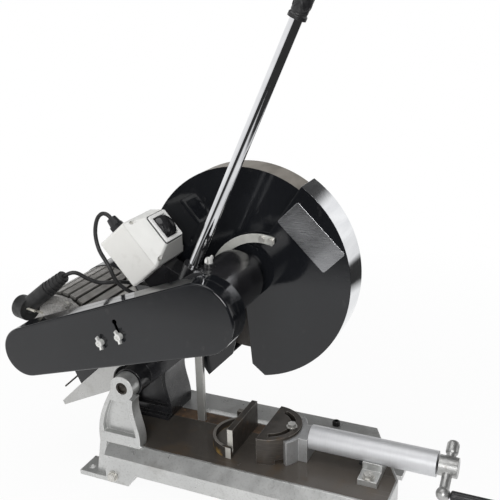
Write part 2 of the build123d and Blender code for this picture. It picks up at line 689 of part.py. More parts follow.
def make_wing_screw():
    """Radial clamp screw on top of the collar, with two wings."""
    seat = COLLAR_RADIUS + WING_BOSS_RISE + FACE_GAP
    screw = rod(wing_point(HOUSING_RADIUS + OVERCUT), wing_point(seat), WING_SHANK)
    outwards = (cos(radians(WING_ANGLE)), 0, sin(radians(WING_ANGLE)))
    return screw + wing_knob(Plane(origin=wing_point(seat), x_dir=(0, 1, 0), z_dir=outwards))


def make_motor_plate():
    """Plate welded to the sleeve, leaning down to the left, notched at the rear ear, with a front gusset."""
    angle = MOTOR_PLATE_ANGLE + 180
    whole = slab(lengthwise(PIVOT, angle, MOTOR_PLATE_LENGTH, MOTOR_PLATE_THICKNESS),
                 MOTOR_PLATE_FRONT, MOTOR_PLATE_BACK)
    notch = slab(lengthwise(PIVOT, angle, PLATE_NOTCH, 2 * SLEEVE_RADIUS), SPRING_FRONT, MOTOR_PLATE_BACK)
    plate = whole - notch - rod_y(PIVOT, SLEEVE_RADIUS + RUN_GAP, MOTOR_PLATE_FRONT, MOTOR_PLATE_BACK)
    gusset = Polygon(PIVOT, *[polar(PIVOT, radius, turn) for radius, turn in GUSSET_RIM], align=None)
    gusset_back = MOTOR_PLATE_FRONT + GUSSET_THICKNESS
    plate += slab(gusset, MOTOR_PLATE_FRONT, gusset_back)
    return plate - rod_y(PIVOT, GUSSET_BORE, MOTOR_PLATE_FRONT, gusset_back)


def make_motor_foot():
    """Saddle casting between the plate and the motor."""
    angle = MOTOR_PLATE_ANGLE + 180
    start = polar(PIVOT, MOTOR_FOOT_START, angle)
    seat = polar(start, MOTOR_PLATE_THICKNESS / 2 + FACE_GAP, MOTOR_PLATE_ANGLE + 90)
    height = hypot(MOTOR[0] - PIVOT[0], MOTOR[1] - PIVOT[1])
    middle = polar(seat, height / 2, MOTOR_PLATE_ANGLE + 90)
    outline = lengthwise(middle, angle, MOTOR_FOOT_END - MOTOR_FOOT_START, height)
    foot = slab(outline, MOTOR_FRONT + MOTOR_FOOT_SETBACK, MOTOR_PLATE_BACK - MOTOR_FOOT_MARGIN)
    above = lengthwise(polar(MOTOR, -height, MOTOR_PLATE_ANGLE), MOTOR_PLATE_ANGLE, 2 * height, 2 * height)
    lift = polar((0, 0), height - MOTOR_FOOT_TOP * MOTOR_FIN_RADIUS, MOTOR_PLATE_ANGLE + 90)
    foot -= slab(Pos(*lift) * above, MOTOR_FRONT, MOTOR_PLATE_BACK)
    return foot - rod_y(MOTOR, MOTOR_FIN_RADIUS + FIT_GAP, MOTOR_FRONT, MOTOR_BACK)


def make_motor_housing():
    """Finned aluminium tube with a wall at the back that holds the rear bearing."""
    outline = Pos(*MOTOR) * Circle(MOTOR_CORE_RADIUS)
    for index in range(FIN_COUNT):
        outline += lengthwise(MOTOR, 360 / FIN_COUNT * index, MOTOR_FIN_RADIUS, FIN_THICKNESS)
    body = slab(outline, MOTOR_FRONT + MOTOR_BAND, MOTOR_BACK - MOTOR_BAND)
    body += rod_y(MOTOR, MOTOR_CORE_RADIUS, MOTOR_FRONT, MOTOR_FRONT + MOTOR_BAND)
    body += rod_y(MOTOR, MOTOR_FIN_RADIUS - PRESS_GAP, MOTOR_BACK - MOTOR_BAND, MOTOR_BACK)
    body -= rod_y(MOTOR, MOTOR_BORE, MOTOR_FRONT, MOTOR_BACK - REAR_WALL)
    return body - rod_y(MOTOR, MOTOR_BEARING_RADIUS + PRESS_GAP, MOTOR_FRONT, MOTOR_BACK)


def tie_points():
    return [polar(MOTOR, TIE_CIRCLE, TIE_ANGLE + 360 / TIE_COUNT * index) for index in range(TIE_COUNT)]


def make_motor_front_shield():
    """End shield with a raised cap and four lugs for the tie bolts."""
    ring_front = MOTOR_FRONT - SHIELD_RING
    shield = rod_y(MOTOR, MOTOR_FIN_RADIUS - SHIELD_MARGIN, ring_front, MOTOR_FRONT)
    shield += rod_y(MOTOR, SHIELD_CAP_RADIUS, ring_front - SHIELD_CAP, ring_front)
    for point in tie_points():
        shield += rod_y(point, TIE_LUG_RADIUS, ring_front - TIE_LUG_RISE, MOTOR_FRONT)
    for point in tie_points():
        shield -= rod_y(point, TIE_RADIUS, ring_front - TIE_LUG_RISE, MOTOR_FRONT)
    shield -= rod_y(MOTOR, MOTOR_BEARING_RADIUS + PRESS_GAP, MOTOR_FRONT - MOTOR_BEARING_WIDTH, MOTOR_FRONT)
    return shield - rod_y(MOTOR, MOTOR_SHAFT_RADIUS + SHIELD_MARGIN, ring_front - SHIELD_CAP, MOTOR_FRONT)


def make_motor_tie_bolts():
    depth = SHIELD_RING + TIE_LUG_RISE
    radius = TIE_RADIUS - PRESS_GAP
    bolts = [hex_bolt((x, MOTOR_FRONT - depth, z), (0, -1, 0), radius, depth) for x, z in tie_points()]
    return Compound(children=[bolt.solid() for bolt in bolts])


def make_motor_stator():
    return tube_y(MOTOR, MOTOR_BORE - PRESS_GAP, STATOR_BORE, CORE_FRONT, CORE_BACK)


def bearing(centre, outer, bore, front, width):
    """Ball bearing drawn as one ring with a shallow groove in each face."""
    ring = tube_y(centre, outer, bore, front, front + width)
    middle = (outer + bore) / 2
    half = (outer - bore) / 6
    for start in (front, front + width - BEARING_GROOVE):
        ring -= tube_y(centre, middle + half, middle - half, start, start + BEARING_GROOVE)
    return ring.solid()


def make_motor_bearings():
    bore = MOTOR_SHAFT_RADIUS + PRESS_GAP
    fronts = (MOTOR_FRONT - MOTOR_BEARING_WIDTH + FACE_GAP, MOTOR_BACK - REAR_WALL + BEARING_GROOVE)
    rings = [bearing(MOTOR, MOTOR_BEARING_RADIUS, bore, front, MOTOR_BEARING_WIDTH) for front in fronts]
    return Compound(children=rings)


def make_motor_rotor():
    core = rod_y(MOTOR, STATOR_BORE - AIR_GAP, CORE_FRONT, CORE_BACK)
    shaft_front = PULLEY_Y - PULLEY_WIDTH / 2 - SHAFT_STEP
    return core + rod_y(MOTOR, MOTOR_SHAFT_RADIUS, shaft_front, MOTOR_BACK + FAN_DEPTH + FAN_SHAFT_END)


def make_cooling_fan():
    front = MOTOR_BACK + FAN_GAP
    blade_width, blade_thickness = FAN_BLADE
    fan = rod_y(MOTOR, MOTOR_SHAFT_RADIUS + FAN_HUB_WALL, front, front + FAN_DEPTH)
    fan += rod_y(MOTOR, FAN_RADIUS, front, front + FAN_DISC)
    for index in range(FAN_BLADES):
        blade = lengthwise(MOTOR, 360 / FAN_BLADES * index, FAN_RADIUS, blade_thickness)
        fan += slab(blade, front, front + blade_width)
    return fan - rod_y(MOTOR, MOTOR_SHAFT_RADIUS + PRESS_GAP, front, front + FAN_DEPTH)


def make_fan_cover():
    """Pressed cover over the fan, with rings of holes in its end."""
    front = MOTOR_BACK - MOTOR_BAND
    cover = rod_y(MOTOR, FAN_COVER_RADIUS, front, FAN_COVER_BACK)
    cover -= rod_y(MOTOR, MOTOR_FIN_RADIUS, front, FAN_COVER_BACK - SHEET)
    for row, ring in enumerate(VENT_RINGS):
        count = VENTS_PER_RING * (row + 1)
        for index in range(count):
            hole = polar(MOTOR, ring, 360 / count * index)
            cover -= rod_y(hole, VENT_RADIUS, FAN_COVER_BACK - 2 * SHEET, FAN_COVER_BACK)
    return cover


def pulley(centre, radius, bore):
    """Plain pulley with a groove for the belt."""
    front, back = PULLEY_Y - PULLEY_WIDTH / 2, PULLEY_Y + PULLEY_WIDTH / 2
    wheel = tube_y(centre, radius, bore, front, back)
    half = BELT_WIDTH / 2 + GROOVE_GAP
    floor = radius - BELT_HEIGHT - 2 * GROOVE_GAP
    return wheel - tube_y(centre, radius + OVERCUT, floor, PULLEY_Y - half, PULLEY_Y + half)


def make_drive_belt():
    outer = loop_face(SPINDLE, SPINDLE_PULLEY_RADIUS - GROOVE_GAP, MOTOR, MOTOR_PULLEY_RADIUS - GROOVE_GAP)
    inner = loop_face(SPINDLE, SPINDLE_PULLEY_RADIUS - GROOVE_GAP - BELT_HEIGHT, MOTOR,
                      MOTOR_PULLEY_RADIUS - GROOVE_GAP - BELT_HEIGHT)
    return slab(outer - inner, PULLEY_Y - BELT_WIDTH / 2, PULLEY_Y + BELT_WIDTH / 2)


def make_spindle_shaft():
    """Shaft in two bearings, with a pulley seat in front and the wheel's nose behind."""
    shoulder = WHEEL_FRONT - FLANGE_THICKNESS
    step = GUARD_BACK + SHAFT_STEP
    shaft = rod_y(SPINDLE, SPINDLE_RADIUS, step, shoulder)
    shaft += rod_y(SPINDLE, SPINDLE_COLLAR_RADIUS, shoulder - SPINDLE_COLLAR, shoulder)
    shaft += rod_y(SPINDLE, NOSE_RADIUS, PULLEY_Y - PULLEY_WIDTH / 2 - SHAFT_STEP, step)
    return shaft + rod_y(SPINDLE, NOSE_RADIUS, shoulder, WHEEL_BACK + FLANGE_THICKNESS + NUT_LENGTH)


def make_wheel_flanges():
    bore = NOSE_RADIUS + PRESS_GAP
    inner = tube_y(SPINDLE, FLANGE_RADIUS, bore, WHEEL_FRONT - FLANGE_THICKNESS, WHEEL_FRONT)
    outer = tube_y(SPINDLE, FLANGE_RADIUS, bore, WHEEL_BACK, WHEEL_BACK + FLANGE_THICKNESS)
    return Compound(children=[inner.solid(), outer.solid()])


def make_cutting_wheel():
    return tube_y(SPINDLE, WHEEL_RADIUS, NOSE_RADIUS + RUN_GAP, WHEEL_FRONT, WHEEL_BACK)


def make_spindle_nut():
    front = WHEEL_BACK + FLANGE_THICKNESS
    outline = Pos(*SPINDLE) * RegularPolygon(NUT_ACROSS / 2, 6, major_radius=False)
    nut = slab(outline, front, front + NUT_LENGTH - SHAFT_STEP)
    return nut - rod_y(SPINDLE, NOSE_RADIUS + PRESS_GAP, front, front + NUT_LENGTH)


def make_spindle_housing():
    return tube_y(SPINDLE, HOUSING_RADIUS, BEARING_OUTER, GUARD_BACK, FIXED_GUARD_FRONT)


def make_spindle_bearings():
    outer, bore = BEARING_OUTER - PRESS_GAP, SPINDLE_RADIUS + PRESS_GAP
    front = bearing(SPINDLE, outer, bore, GUARD_BACK + BEARING_INSET, BEARING_WIDTH)
    rear = bearing(SPINDLE, outer, bore, FIXED_GUARD_FRONT - BEARING_INSET - BEARING_WIDTH, BEARING_WIDTH)
    return Compound(children=[front, rear])


def fixed_guard_edges(radius, inset):
    """Arc over the wheel and the straight back of the spark chute, and the chute's low tip."""
    low = polar(SPINDLE, radius, CHUTE_ANGLE)
    tip = polar(low, CHUTE_LENGTH + inset, CHUTE_ANGLE + 90)
    start = SEAM_ANGLE - GUARD_OVERLAP - inset
    return arc(SPINDLE, radius, start, CHUTE_ANGLE), Line(low, tip), tip


def make_fixed_wheel_guard():
    """Two side plates and a rim over the wheel, open below, with a boss that carries the moving guard."""
    rim, chute, tip = fixed_guard_edges(FIXED_GUARD_RADIUS, 0)
    mouth = (SPINDLE[0] + CHUTE_MOUTH[0], SPINDLE[1] + CHUTE_MOUTH[1])
    hub_low = polar(SPINDLE, GUARD_HUB_RADIUS, 270)
    hub = arc(SPINDLE, GUARD_HUB_RADIUS, 270, 360 + SEAM_ANGLE - GUARD_OVERLAP)
    plate = make_face([rim, chute, Line(tip, mouth), Line(mouth, hub_low), hub,
                       Line(hub @ 1, rim @ 0)])
    inner_rim, inner_chute, inner_tip = fixed_guard_edges(FIXED_GUARD_RADIUS - SHEET, CHUTE_OVERCUT)
    corner = (SPINDLE[0] + GUARD_HUB_RADIUS, inner_tip[1])
    inside = make_face([inner_rim, inner_chute, Line(inner_tip, corner), Line(corner, inner_rim @ 0)])
    guard = slab(plate, FIXED_GUARD_FRONT, FIXED_GUARD_BACK)
    guard -= slab(inside, FIXED_GUARD_FRONT + SHEET, FIXED_GUARD_BACK - SHEET)
    guard -= rod_y(SPINDLE, SPINDLE_COLLAR_RADIUS + SHAFT_STEP, FIXED_GUARD_FRONT, FIXED_GUARD_FRONT + SHEET)
    return guard + tube_y(SPINDLE, BACK_BOSS_RADIUS, BACK_BOSS_RADIUS - BACK_BOSS_WALL, FIXED_GUARD_BACK,
                          MOVING_GUARD_BACK + SHEET)


def make_moving_wheel_guard():
    """Sector of two plates and a rim that turns about the spindle, outside the fixed guard."""
    cut = GUARD_CORNER / MOVING_GUARD_RADIUS
    rim = arc(SPINDLE, MOVING_GUARD_RADIUS, GUARD_LOW_ANGLE + degrees(cut), SEAM_ANGLE)
    low = polar(SPINDLE, MOVING_GUARD_RADIUS - GUARD_CORNER, GUARD_LOW_ANGLE)
    plate = make_face([rim, Line(rim @ 1, SPINDLE), Line(SPINDLE, low), Line(low, rim @ 0)])
    plate += Pos(*SPINDLE) * Circle(GUARD_HUB_RADIUS)
    guard = slab(plate, MOVING_GUARD_FRONT, MOVING_GUARD_BACK)
    inner_front, inner_back = MOVING_GUARD_FRONT + SHEET, MOVING_GUARD_BACK - SHEET
    guard -= rod_y(SPINDLE, MOVING_GUARD_RADIUS - SHEET, inner_front, inner_back)
    guard -= rod_y(SPINDLE, HOUSING_RADIUS + FIT_GAP, MOVING_GUARD_FRONT, inner_front)
    return guard - rod_y(SPINDLE, BACK_BOSS_RADIUS + FIT_GAP, inner_back, MOVING_GUARD_BACK)


def strap_path():
    points = [(SPINDLE[0] + x, SPINDLE[1] + z) for x, z in STRAP_POINTS]
    return ThreePointArc(*points)


def make_guard_strap():
    """Bent flat bar bolted to the moving guard, reaching back over the housing to the clamp."""
    back = MOVING_GUARD_FRONT - FACE_GAP
    return slab(trace(strap_path(), STRAP_WIDTH), back - STRAP_THICKNESS, back)


def make_strap_bolts():
    seat = MOVING_GUARD_FRONT - FACE_GAP - STRAP_THICKNESS
    path = strap_path()
    spots = [path @ share for share in STRAP_BOLT_SPOTS]
    bolts = [hex_bolt((spot.X, seat - FACE_GAP, spot.Y), (0, -1, 0), STRAP_BOLT_RADIUS, STUB)
             for spot in spots]
    return Compound(children=[bolt.solid() for bolt in bolts])


def guard_outline(shrink):
    return loop_face(GUARD_BIG, GUARD_BIG_RADIUS - shrink, MOTOR, GUARD_SMALL_RADIUS - shrink)


def pan_cut():
    """Half plane on the spindle's side of the place where the pan's rim starts."""
    start = polar(MOTOR, PAN_START, BELT_ANGLE)
    return lengthwise(start, BELT_ANGLE, 2 * BELT_CENTRES, 2 * BELT_CENTRES)


def stud_points():
    return [polar(MOTOR, reach, angle) for reach, angle in STUD_SPOTS]


def make_belt_guard_cover():
    """Black pressed cover, full depth round the motor pulley and half depth along the rest."""
    cover = slab(guard_outline(0), GUARD_FACE, GUARD_BACK - SHEET - FACE_GAP)
    cover -= slab(guard_outline(SHEET), GUARD_FACE + SHEET, GUARD_BACK)
    cover -= slab(pan_cut(), GUARD_BACK - PAN_DEPTH - FACE_GAP, GUARD_BACK)
    for point in stud_points():
        cover -= rod_y(point, STUD_RADIUS + KEYHOLE_PLAY, GUARD_FACE, GUARD_FACE + SHEET)
    across = BELT_ANGLE + 90
    keyhole = lengthwise(point, across, KEYHOLE_LENGTH, STUD_RADIUS + KEYHOLE_PLAY)
    keyhole += Pos(*polar(point, KEYHOLE_LENGTH, across)) * Circle(STUD_RADIUS)
    cover -= slab(keyhole, GUARD_FACE, GUARD_FACE + SHEET)
    return fillet(cover.edges().group_by(Axis.Y)[0].sort_by(SortBy.LENGTH)[-4:], GUARD_EDGE_RADIUS)


def make_belt_guard_pan():
    """Back half of the belt guard, with holes for the spindle and the motor shaft and two studs."""
    pan = slab(guard_outline(0), GUARD_BACK - SHEET, GUARD_BACK)
    rim = slab(guard_outline(0) - guard_outline(SHEET), GUARD_BACK - PAN_DEPTH, GUARD_BACK - SHEET)
    pan += rim & slab(pan_cut(), GUARD_BACK - PAN_DEPTH, GUARD_BACK)
    pan -= rod_y(SPINDLE, BEARING_OUTER, GUARD_BACK - SHEET, GUARD_BACK)
    pan -= rod_y(MOTOR, MOTOR_SHAFT_RADIUS + SHAFT_CLEARANCE, GUARD_BACK - SHEET, GUARD_BACK)
    for point in stud_points():
        pan += rod_y(point, STUD_RADIUS, GUARD_FACE + SHEET + FACE_GAP, GUARD_BACK - SHEET)
    return pan


def make_belt_guard_bolts():
    """Wing knobs on the studs, the wings across the belt's direction."""
    along = polar((0, 0), 1, BELT_ANGLE + 90)
    knobs = []
    for x, z in stud_points():
        seat = Plane(origin=(x, GUARD_FACE, z), x_dir=(along[0], 0, along[1]), z_dir=(0, -1, 0))
        shank = rod_y((x, z), STUD_RADIUS - KEYHOLE_PLAY, GUARD_FACE, GUARD_FACE + SHEET)
        knobs.append(wing_knob(seat) + shank)
    return Compound(children=[knob.solid() for knob in knobs])


def make_handle_tube():
    foot, top = handle_point(-HANDLE_IN_SOCKET), handle_point(HANDLE_LENGTH)
    return rod(foot, top, HANDLE_RADIUS) - rod(foot, top, HANDLE_RADIUS - HANDLE_WALL)


def make_handle_grip():
    """Moulded grip, closed at its top."""
    start = HANDLE_LENGTH - GRIP_LENGTH + GRIP_WALL
    outer = HANDLE_RADIUS + GRIP_WALL
    grip = rod(handle_point(start), handle_point(HANDLE_LENGTH + GRIP_WALL), outer)
    grip = fillet(grip.edges(), GRIP_ROUND)
    return grip - rod(handle_point(start - OVERCUT), handle_point(HANDLE_LENGTH), HANDLE_RADIUS + PRESS_GAP)


def box_plane(up=0.0):
    """Plane across the switch box: local x down its base, local y away, local z out of its lid."""
    angle = radians(BOX_ANGLE)
    x_dir = (cos(angle), 0, sin(angle))
    z_dir = (-sin(angle), 0, cos(angle))
    origin = tuple(BOX_CENTRE[index] + up * z_dir[index] for index in range(3))
    return Plane(origin=origin, x_dir=x_dir, z_dir=z_dir)


def make_switch_box():
    """Open plastic box, the lid's side up."""
    low = (Align.CENTER, Align.CENTER, Align.MIN)
    box = Box(BOX_LENGTH, BOX_WIDTH, BOX_HEIGHT, align=low)
    box = fillet(box.edges().filter_by(Axis.Z), BOX_CORNER)
    inner = (BOX_LENGTH - 2 * BOX_WALL, BOX_WIDTH - 2 * BOX_WALL)
    box -= Pos(0, 0, BOX_WALL) * Box(*inner, BOX_HEIGHT, align=low)
    for x, y in lid_posts():
        box += Pos(x, y) * Cylinder(LID_POST_RADIUS, BOX_HEIGHT, align=low)
        box -= Pos(x, y, BOX_HEIGHT) * Cylinder(LID_SCREW_RADIUS + PRESS_GAP, BOX_HEIGHT)
    return box_plane() * box


def lid_posts():
    """Where the posts for the lid's screws stand, in the box's own plane."""
    x, y = BOX_LENGTH / 2 - LID_POST_INSET, BOX_WIDTH / 2 - LID_POST_INSET
    return [(-x, -y), (-x, y), (x, -y), (x, y)]


def make_lid_screws():
    """Four round-headed screws, sunk in the lid's corners."""
    low = (Align.CENTER, Align.CENTER, Align.MIN)
    screw = Pos(0, 0, LID_SCREW_SEAT + FACE_GAP) * Cylinder(LID_SCREW_HEAD, LID_SCREW_HEAD, align=low)
    screw += Pos(0, 0, -LID_SCREW_SEAT) * Cylinder(LID_SCREW_RADIUS, 2 * LID_SCREW_SEAT + OVERCUT, align=low)
    plane = box_plane(BOX_HEIGHT)
    return Compound(children=[(plane * (Pos(x, y) * screw)).solid() for x, y in lid_posts()])


def bezel_window():
    """Length and width of the opening in the bezel and the lid below it."""
    border = BEZEL_MARGIN + 2 * BEZEL_BORDER
    return LID_TOP_LENGTH - border, LID_TOP_WIDTH - border


def make_switch_lid():
    """Hollow lid that narrows to the switch."""
    def shell(margin, low, high):
        base = Pos(0, 0, low) * RectangleRounded(BOX_LENGTH - margin, BOX_WIDTH - margin, BOX_CORNER)
        top = RectangleRounded(LID_TOP_LENGTH - margin, LID_TOP_WIDTH - margin, BOX_CORNER)
        return loft([base, Pos(*LID_SHIFT, high) * top], ruled=True)
    low = (Align.CENTER, Align.CENTER, Align.MIN)
    outside = shell(0, FACE_GAP, LID_HEIGHT)
    lid = outside - shell(2 * BOX_WALL, FACE_GAP, LID_HEIGHT - BOX_WALL)
    for x, y in lid_posts():
        lid += outside & Pos(x, y) * Cylinder(LID_POST_RADIUS, LID_POST_HEIGHT, align=low)
        lid -= Pos(x, y, LID_SCREW_SEAT) * Cylinder(LID_SCREW_HEAD + FACE_GAP, LID_HEIGHT, align=low)
        lid -= Pos(x, y) * Cylinder(LID_SCREW_RADIUS + PRESS_GAP, LID_HEIGHT)
    hole = Pos(*LID_SHIFT, LID_HEIGHT) * Box(*bezel_window(), LID_HEIGHT / 3)
    return box_plane(BOX_HEIGHT) * (lid - hole)


def make_switch_bezel():
    """Raised frame round the rocker."""
    low = (Align.CENTER, Align.CENTER, Align.MIN)
    frame = RectangleRounded(LID_TOP_LENGTH - BEZEL_MARGIN, LID_TOP_WIDTH - BEZEL_MARGIN, BEZEL_CORNER)
    frame = extrude(frame, amount=BEZEL_HEIGHT)
    window = bezel_window()
    frame -= Box(*window, 4 * BEZEL_HEIGHT, align=low)
    pin_end = window[1] / 2 + 2 * ROCKER_PIN_GRIP
    frame -= rod((0, -pin_end, ROCKER_PIN_UP), (0, pin_end, ROCKER_PIN_UP), ROCKER_PIN_RADIUS + RUN_GAP)
    return box_plane(BOX_HEIGHT + LID_HEIGHT + FACE_GAP) * (Pos(*LID_SHIFT) * frame)


def make_switch_rocker():
    """Domed button that tips on a pin across the bezel."""
    length, width = (window - play for window, play in zip(bezel_window(), ROCKER_PLAY))
    low = ROCKER_PIN_UP - ROCKER_PIN_RADIUS
    body = Pos(0, 0, low) * extrude(RectangleRounded(length, width, ROCKER_CORNER), amount=ROCKER_RISE)
    body &= Pos(0, 0, ROCKER_RISE - ROCKER_DOME) * Sphere(ROCKER_DOME)
    pin_end = bezel_window()[1] / 2 + ROCKER_PIN_GRIP
    body += rod((0, -pin_end, ROCKER_PIN_UP), (0, pin_end, ROCKER_PIN_UP), ROCKER_PIN_RADIUS)
    return box_plane(BOX_HEIGHT + LID_HEIGHT + FACE_GAP) * (Pos(*LID_SHIFT) * body)


def make_box_bracket():
    """Angle bracket that carries the switch box on the arm's upper edge."""
    plane = box_plane()
    edge = BOX_LENGTH / 2 + FACE_GAP
    low, high = (plane.from_local_coords((edge, 0, up)) for up in BRACKET_ON_BOX)
    near, far = [arm_point(along, FACE_GAP) for along in BRACKET_ON_ARM]
    outline = Polygon((low.X, low.Z), (high.X, high.Z), far, near, align=None)
    return slab(outline, *BRACKET_WIDTH)


def gland_point(out):
    """Point on the gland's axis, measured out from the box's upper side."""
    return box_plane().from_local_coords((-BOX_LENGTH / 2 - out, GLAND_Y, GLAND_UP))


def make_cable_gland():
    """Hexagon body and tapered nut that grip the power cord."""
    out = tuple(box_plane().x_dir * -1)
    gland = hexagon(tuple(gland_point(FACE_GAP)), out, 2 * GLAND_RADIUS, GLAND_HEX_LENGTH)
    low = (Align.CENTER, Align.CENTER, Align.MIN)
    nut = Cone(GLAND_RADIUS - OVERCUT, GLAND_TIP_RADIUS, GLAND_LENGTH - GLAND_HEX_LENGTH, align=low)
    nut = fillet(nut.edges().sort_by(Axis.Z)[-1], GLAND_ROUND)
    gland += Plane(origin=tuple(gland_point(GLAND_HEX_LENGTH)), z_dir=out) * nut
    bore_end = gland_point(GLAND_LENGTH + OVERCUT)
    return gland - rod(tuple(gland_point(GLAND_BORE_START)), tuple(bore_end), CORD_RADIUS)


def cord_points():
    """Route of the cord: out of the gland, down to a loop beside the arm, past the motor to the plug."""
    start = gland_point(GLAND_LENGTH - CORD_IN_GLAND)
    out = gland_point(GLAND_LENGTH + CORD_PAST_GLAND)
    axis = (Vector(*PLUG_HEAD) - Vector(*PLUG_TAIL)).normalized()
    before = Vector(*PLUG_TAIL) - axis * CORD_BEFORE_PLUG
    inside = Vector(*PLUG_TAIL) + axis * CORD_IN_PLUG
    return [tuple(start), tuple(out), *CORD_ROUTE, tuple(before), tuple(inside)]


def cord_radii(points):
    """Largest tangent arc at each corner: 0.45 of the shorter run over the tangent of half the turn."""
    radii = []
    for before, corner, after in zip(points, points[1:], points[2:]):
        run_in = Vector(*corner) - Vector(*before)
        run_out = Vector(*after) - Vector(*corner)
        turn = radians(run_in.get_angle(run_out))
        radii.append(0.45 * min(run_in.length, run_out.length) / tan(turn / 2))
    return radii


def make_power_cord():
    points = cord_points()
    path = FilletPolyline(*points, radius=cord_radii(points))
    return sweep(Plane(origin=path @ 0, z_dir=path % 0) * Circle(CORD_RADIUS), path=path)


def make_plug_body():
    """Angled rubber plug: round head, handle, and a ribbed strain relief that tapers to the cord."""
    head, tail = Vector(*PLUG_HEAD), Vector(*PLUG_TAIL)
    axis = tail - head
    neck = head + axis * PLUG_BODY_SHARE
    half_depth = Vector(*PLUG_FACING).normalized() * (PLUG_HEAD_DEPTH / 2)
    head_disc = rod(tuple(head - half_depth), tuple(head + half_depth), PLUG_HEAD_RADIUS)
    body = fillet(head_disc.edges(), RELIEF_RIB_RISE) + rod(tuple(head), tuple(neck), PLUG_RADIUS)
    relief = Plane(origin=tuple(neck), z_dir=axis)
    length = axis.length * (1 - PLUG_BODY_SHARE)
    body += relief * (Pos(0, 0, length / 2) * Cone(RELIEF_RADIUS, RELIEF_TIP_RADIUS, length))
    for rib in range(RELIEF_RIBS):
        share = (rib + 0.5) / RELIEF_RIBS
        radius = RELIEF_RADIUS + (RELIEF_TIP_RADIUS - RELIEF_RADIUS) * share + RELIEF_RIB_RISE
        body += relief * (Pos(0, 0, length * share) * Cylinder(radius, RELIEF_RIB_WIDTH))
    body -= rod(tuple(tail - axis.normalized() * CORD_IN_PLUG), tuple(tail + axis), CORD_RADIUS)
    for start, end in pin_ends():
        body -= rod(start, end, PIN_RADIUS + PRESS_GAP)
    return body


def pin_ends():
    """Both ends of each pin's axis, the first inside the head."""
    facing = Vector(*PLUG_FACING).normalized()
    across = facing.cross(Vector(0, 0, 1)).normalized()
    lean = across.cross(facing) * sin(radians(PIN_LEAN)) + across * cos(radians(PIN_LEAN))
    face = Vector(*PLUG_HEAD) + facing * (PLUG_HEAD_DEPTH / 2)
    ends = []
    for step in (-0.5, 0.5):
        middle = face + lean * (step * PIN_SPACING)
        ends.append((tuple(middle - facing * PIN_DEPTH), tuple(middle + facing * PIN_LENGTH)))
    return ends


def make_plug_pins():
    pins = [rod(start, end, PIN_RADIUS) for start, end in pin_ends()]
    return Compound(children=[pin.solid() for pin in pins])


def half_disc(centre, radius, towards):
    """Half of a round plate in plan, on the side of the centre that is named by its sign."""
    cut = Pos(centre[0] - towards * radius, centre[1]) * Rectangle(2 * radius, 4 * radius)
    return Pos(*centre) * Circle(radius) - cut


def raised(face, low, high):
    """Solid with a plan outline between two heights."""
    return extrude(Pos(0, 0, low) * face, amount=high - low)


def make_fixed_jaw():
    """Upright jaw plate with a half-round foot, a low rim, a heel block and a curved slot for its bolt."""
    low = BED_HEIGHT + FIT_GAP
    swivel = (FIXED_FACE, VISE_Y)
    centre = (FIXED_FACE, VISE_Y + FIXED_DISC_SHIFT)
    ends = (VISE_Y - FIXED_JAW_HALF, VISE_Y + FIXED_JAW_HALF)
    disc = half_disc(centre, FIXED_DISC_RADIUS, -1)
    jaw = raised(disc, low, low + FIXED_DISC_HEIGHT)
    jaw += raised(disc - half_disc(centre, FIXED_DISC_RADIUS - FIXED_RIM, -1), low, low + FIXED_RIM_HEIGHT)
    jaw += block((FIXED_FACE - JAW_PLATE, FIXED_FACE), ends, (low, low + FIXED_JAW_HEIGHT))
    jaw += block(*FIXED_HEEL, (low, low + FIXED_HEEL_HEIGHT))
    slot = curved_slot(swivel, FIXED_SLOT_RADIUS, JAW_SLOT_WIDTH, 180, FIXED_SLOT_HALF_ANGLE)
    return jaw - raised(slot, low - OVERCUT, low + FIXED_DISC_HEIGHT + OVERCUT)


def make_fixed_jaw_bolt():
    seat = BED_HEIGHT + 2 * FIT_GAP + FIXED_DISC_HEIGHT
    spot = (FIXED_FACE - FIXED_SLOT_RADIUS, VISE_Y, seat)
    return hex_bolt(spot, (0, 0, 1), JAW_BOLT_RADIUS, seat - BED_HEIGHT)


def sector(centre, radius, half_angle):
    """Plan outline of a slice of a disc that is centred on +X."""
    start, end = polar(centre, radius, -half_angle), polar(centre, radius, half_angle)
    return make_face([Line(centre, start), arc(centre, radius, -half_angle, half_angle), Line(end, centre)])


def make_moving_jaw():
    """Half-round hollow jaw: flat face, top with a curved slot, wall cut away low for the ram's shoe."""
    low = BED_HEIGHT + FIT_GAP
    high = low + MOVING_JAW_HEIGHT
    centre = (MOVING_FACE, VISE_Y)
    face_plate = Pos(*centre) * Rectangle(2 * JAW_PLATE, 4 * MOVING_JAW_RADIUS)
    jaw = raised(half_disc(centre, MOVING_JAW_RADIUS, 1), low, high)
    hollow = half_disc(centre, MOVING_JAW_RADIUS - MOVING_JAW_WALL, 1) - face_plate
    jaw -= raised(hollow, low, high - MOVING_JAW_TOP)
    window = sector(centre, 2 * MOVING_JAW_RADIUS, WINDOW_HALF_ANGLE) - face_plate
    jaw -= raised(window, low, BED_HEIGHT + 2 * FIT_GAP + SHOE_HEIGHT + OVERCUT)
    slot = curved_slot(centre, JAW_SLOT_RADIUS, JAW_SLOT_WIDTH, 0, JAW_SLOT_HALF_ANGLE)
    return jaw - raised(slot, high - MOVING_JAW_TOP - OVERCUT, high + OVERCUT)


def make_moving_jaw_bolt():
    seat = BED_HEIGHT + 2 * FIT_GAP + MOVING_JAW_HEIGHT
    shoe_top = BED_HEIGHT + FIT_GAP + SHOE_HEIGHT
    spot = (MOVING_FACE + JAW_SLOT_RADIUS, VISE_Y, seat)
    return hex_bolt(spot, (0, 0, 1), JAW_BOLT_RADIUS, seat - shoe_top)


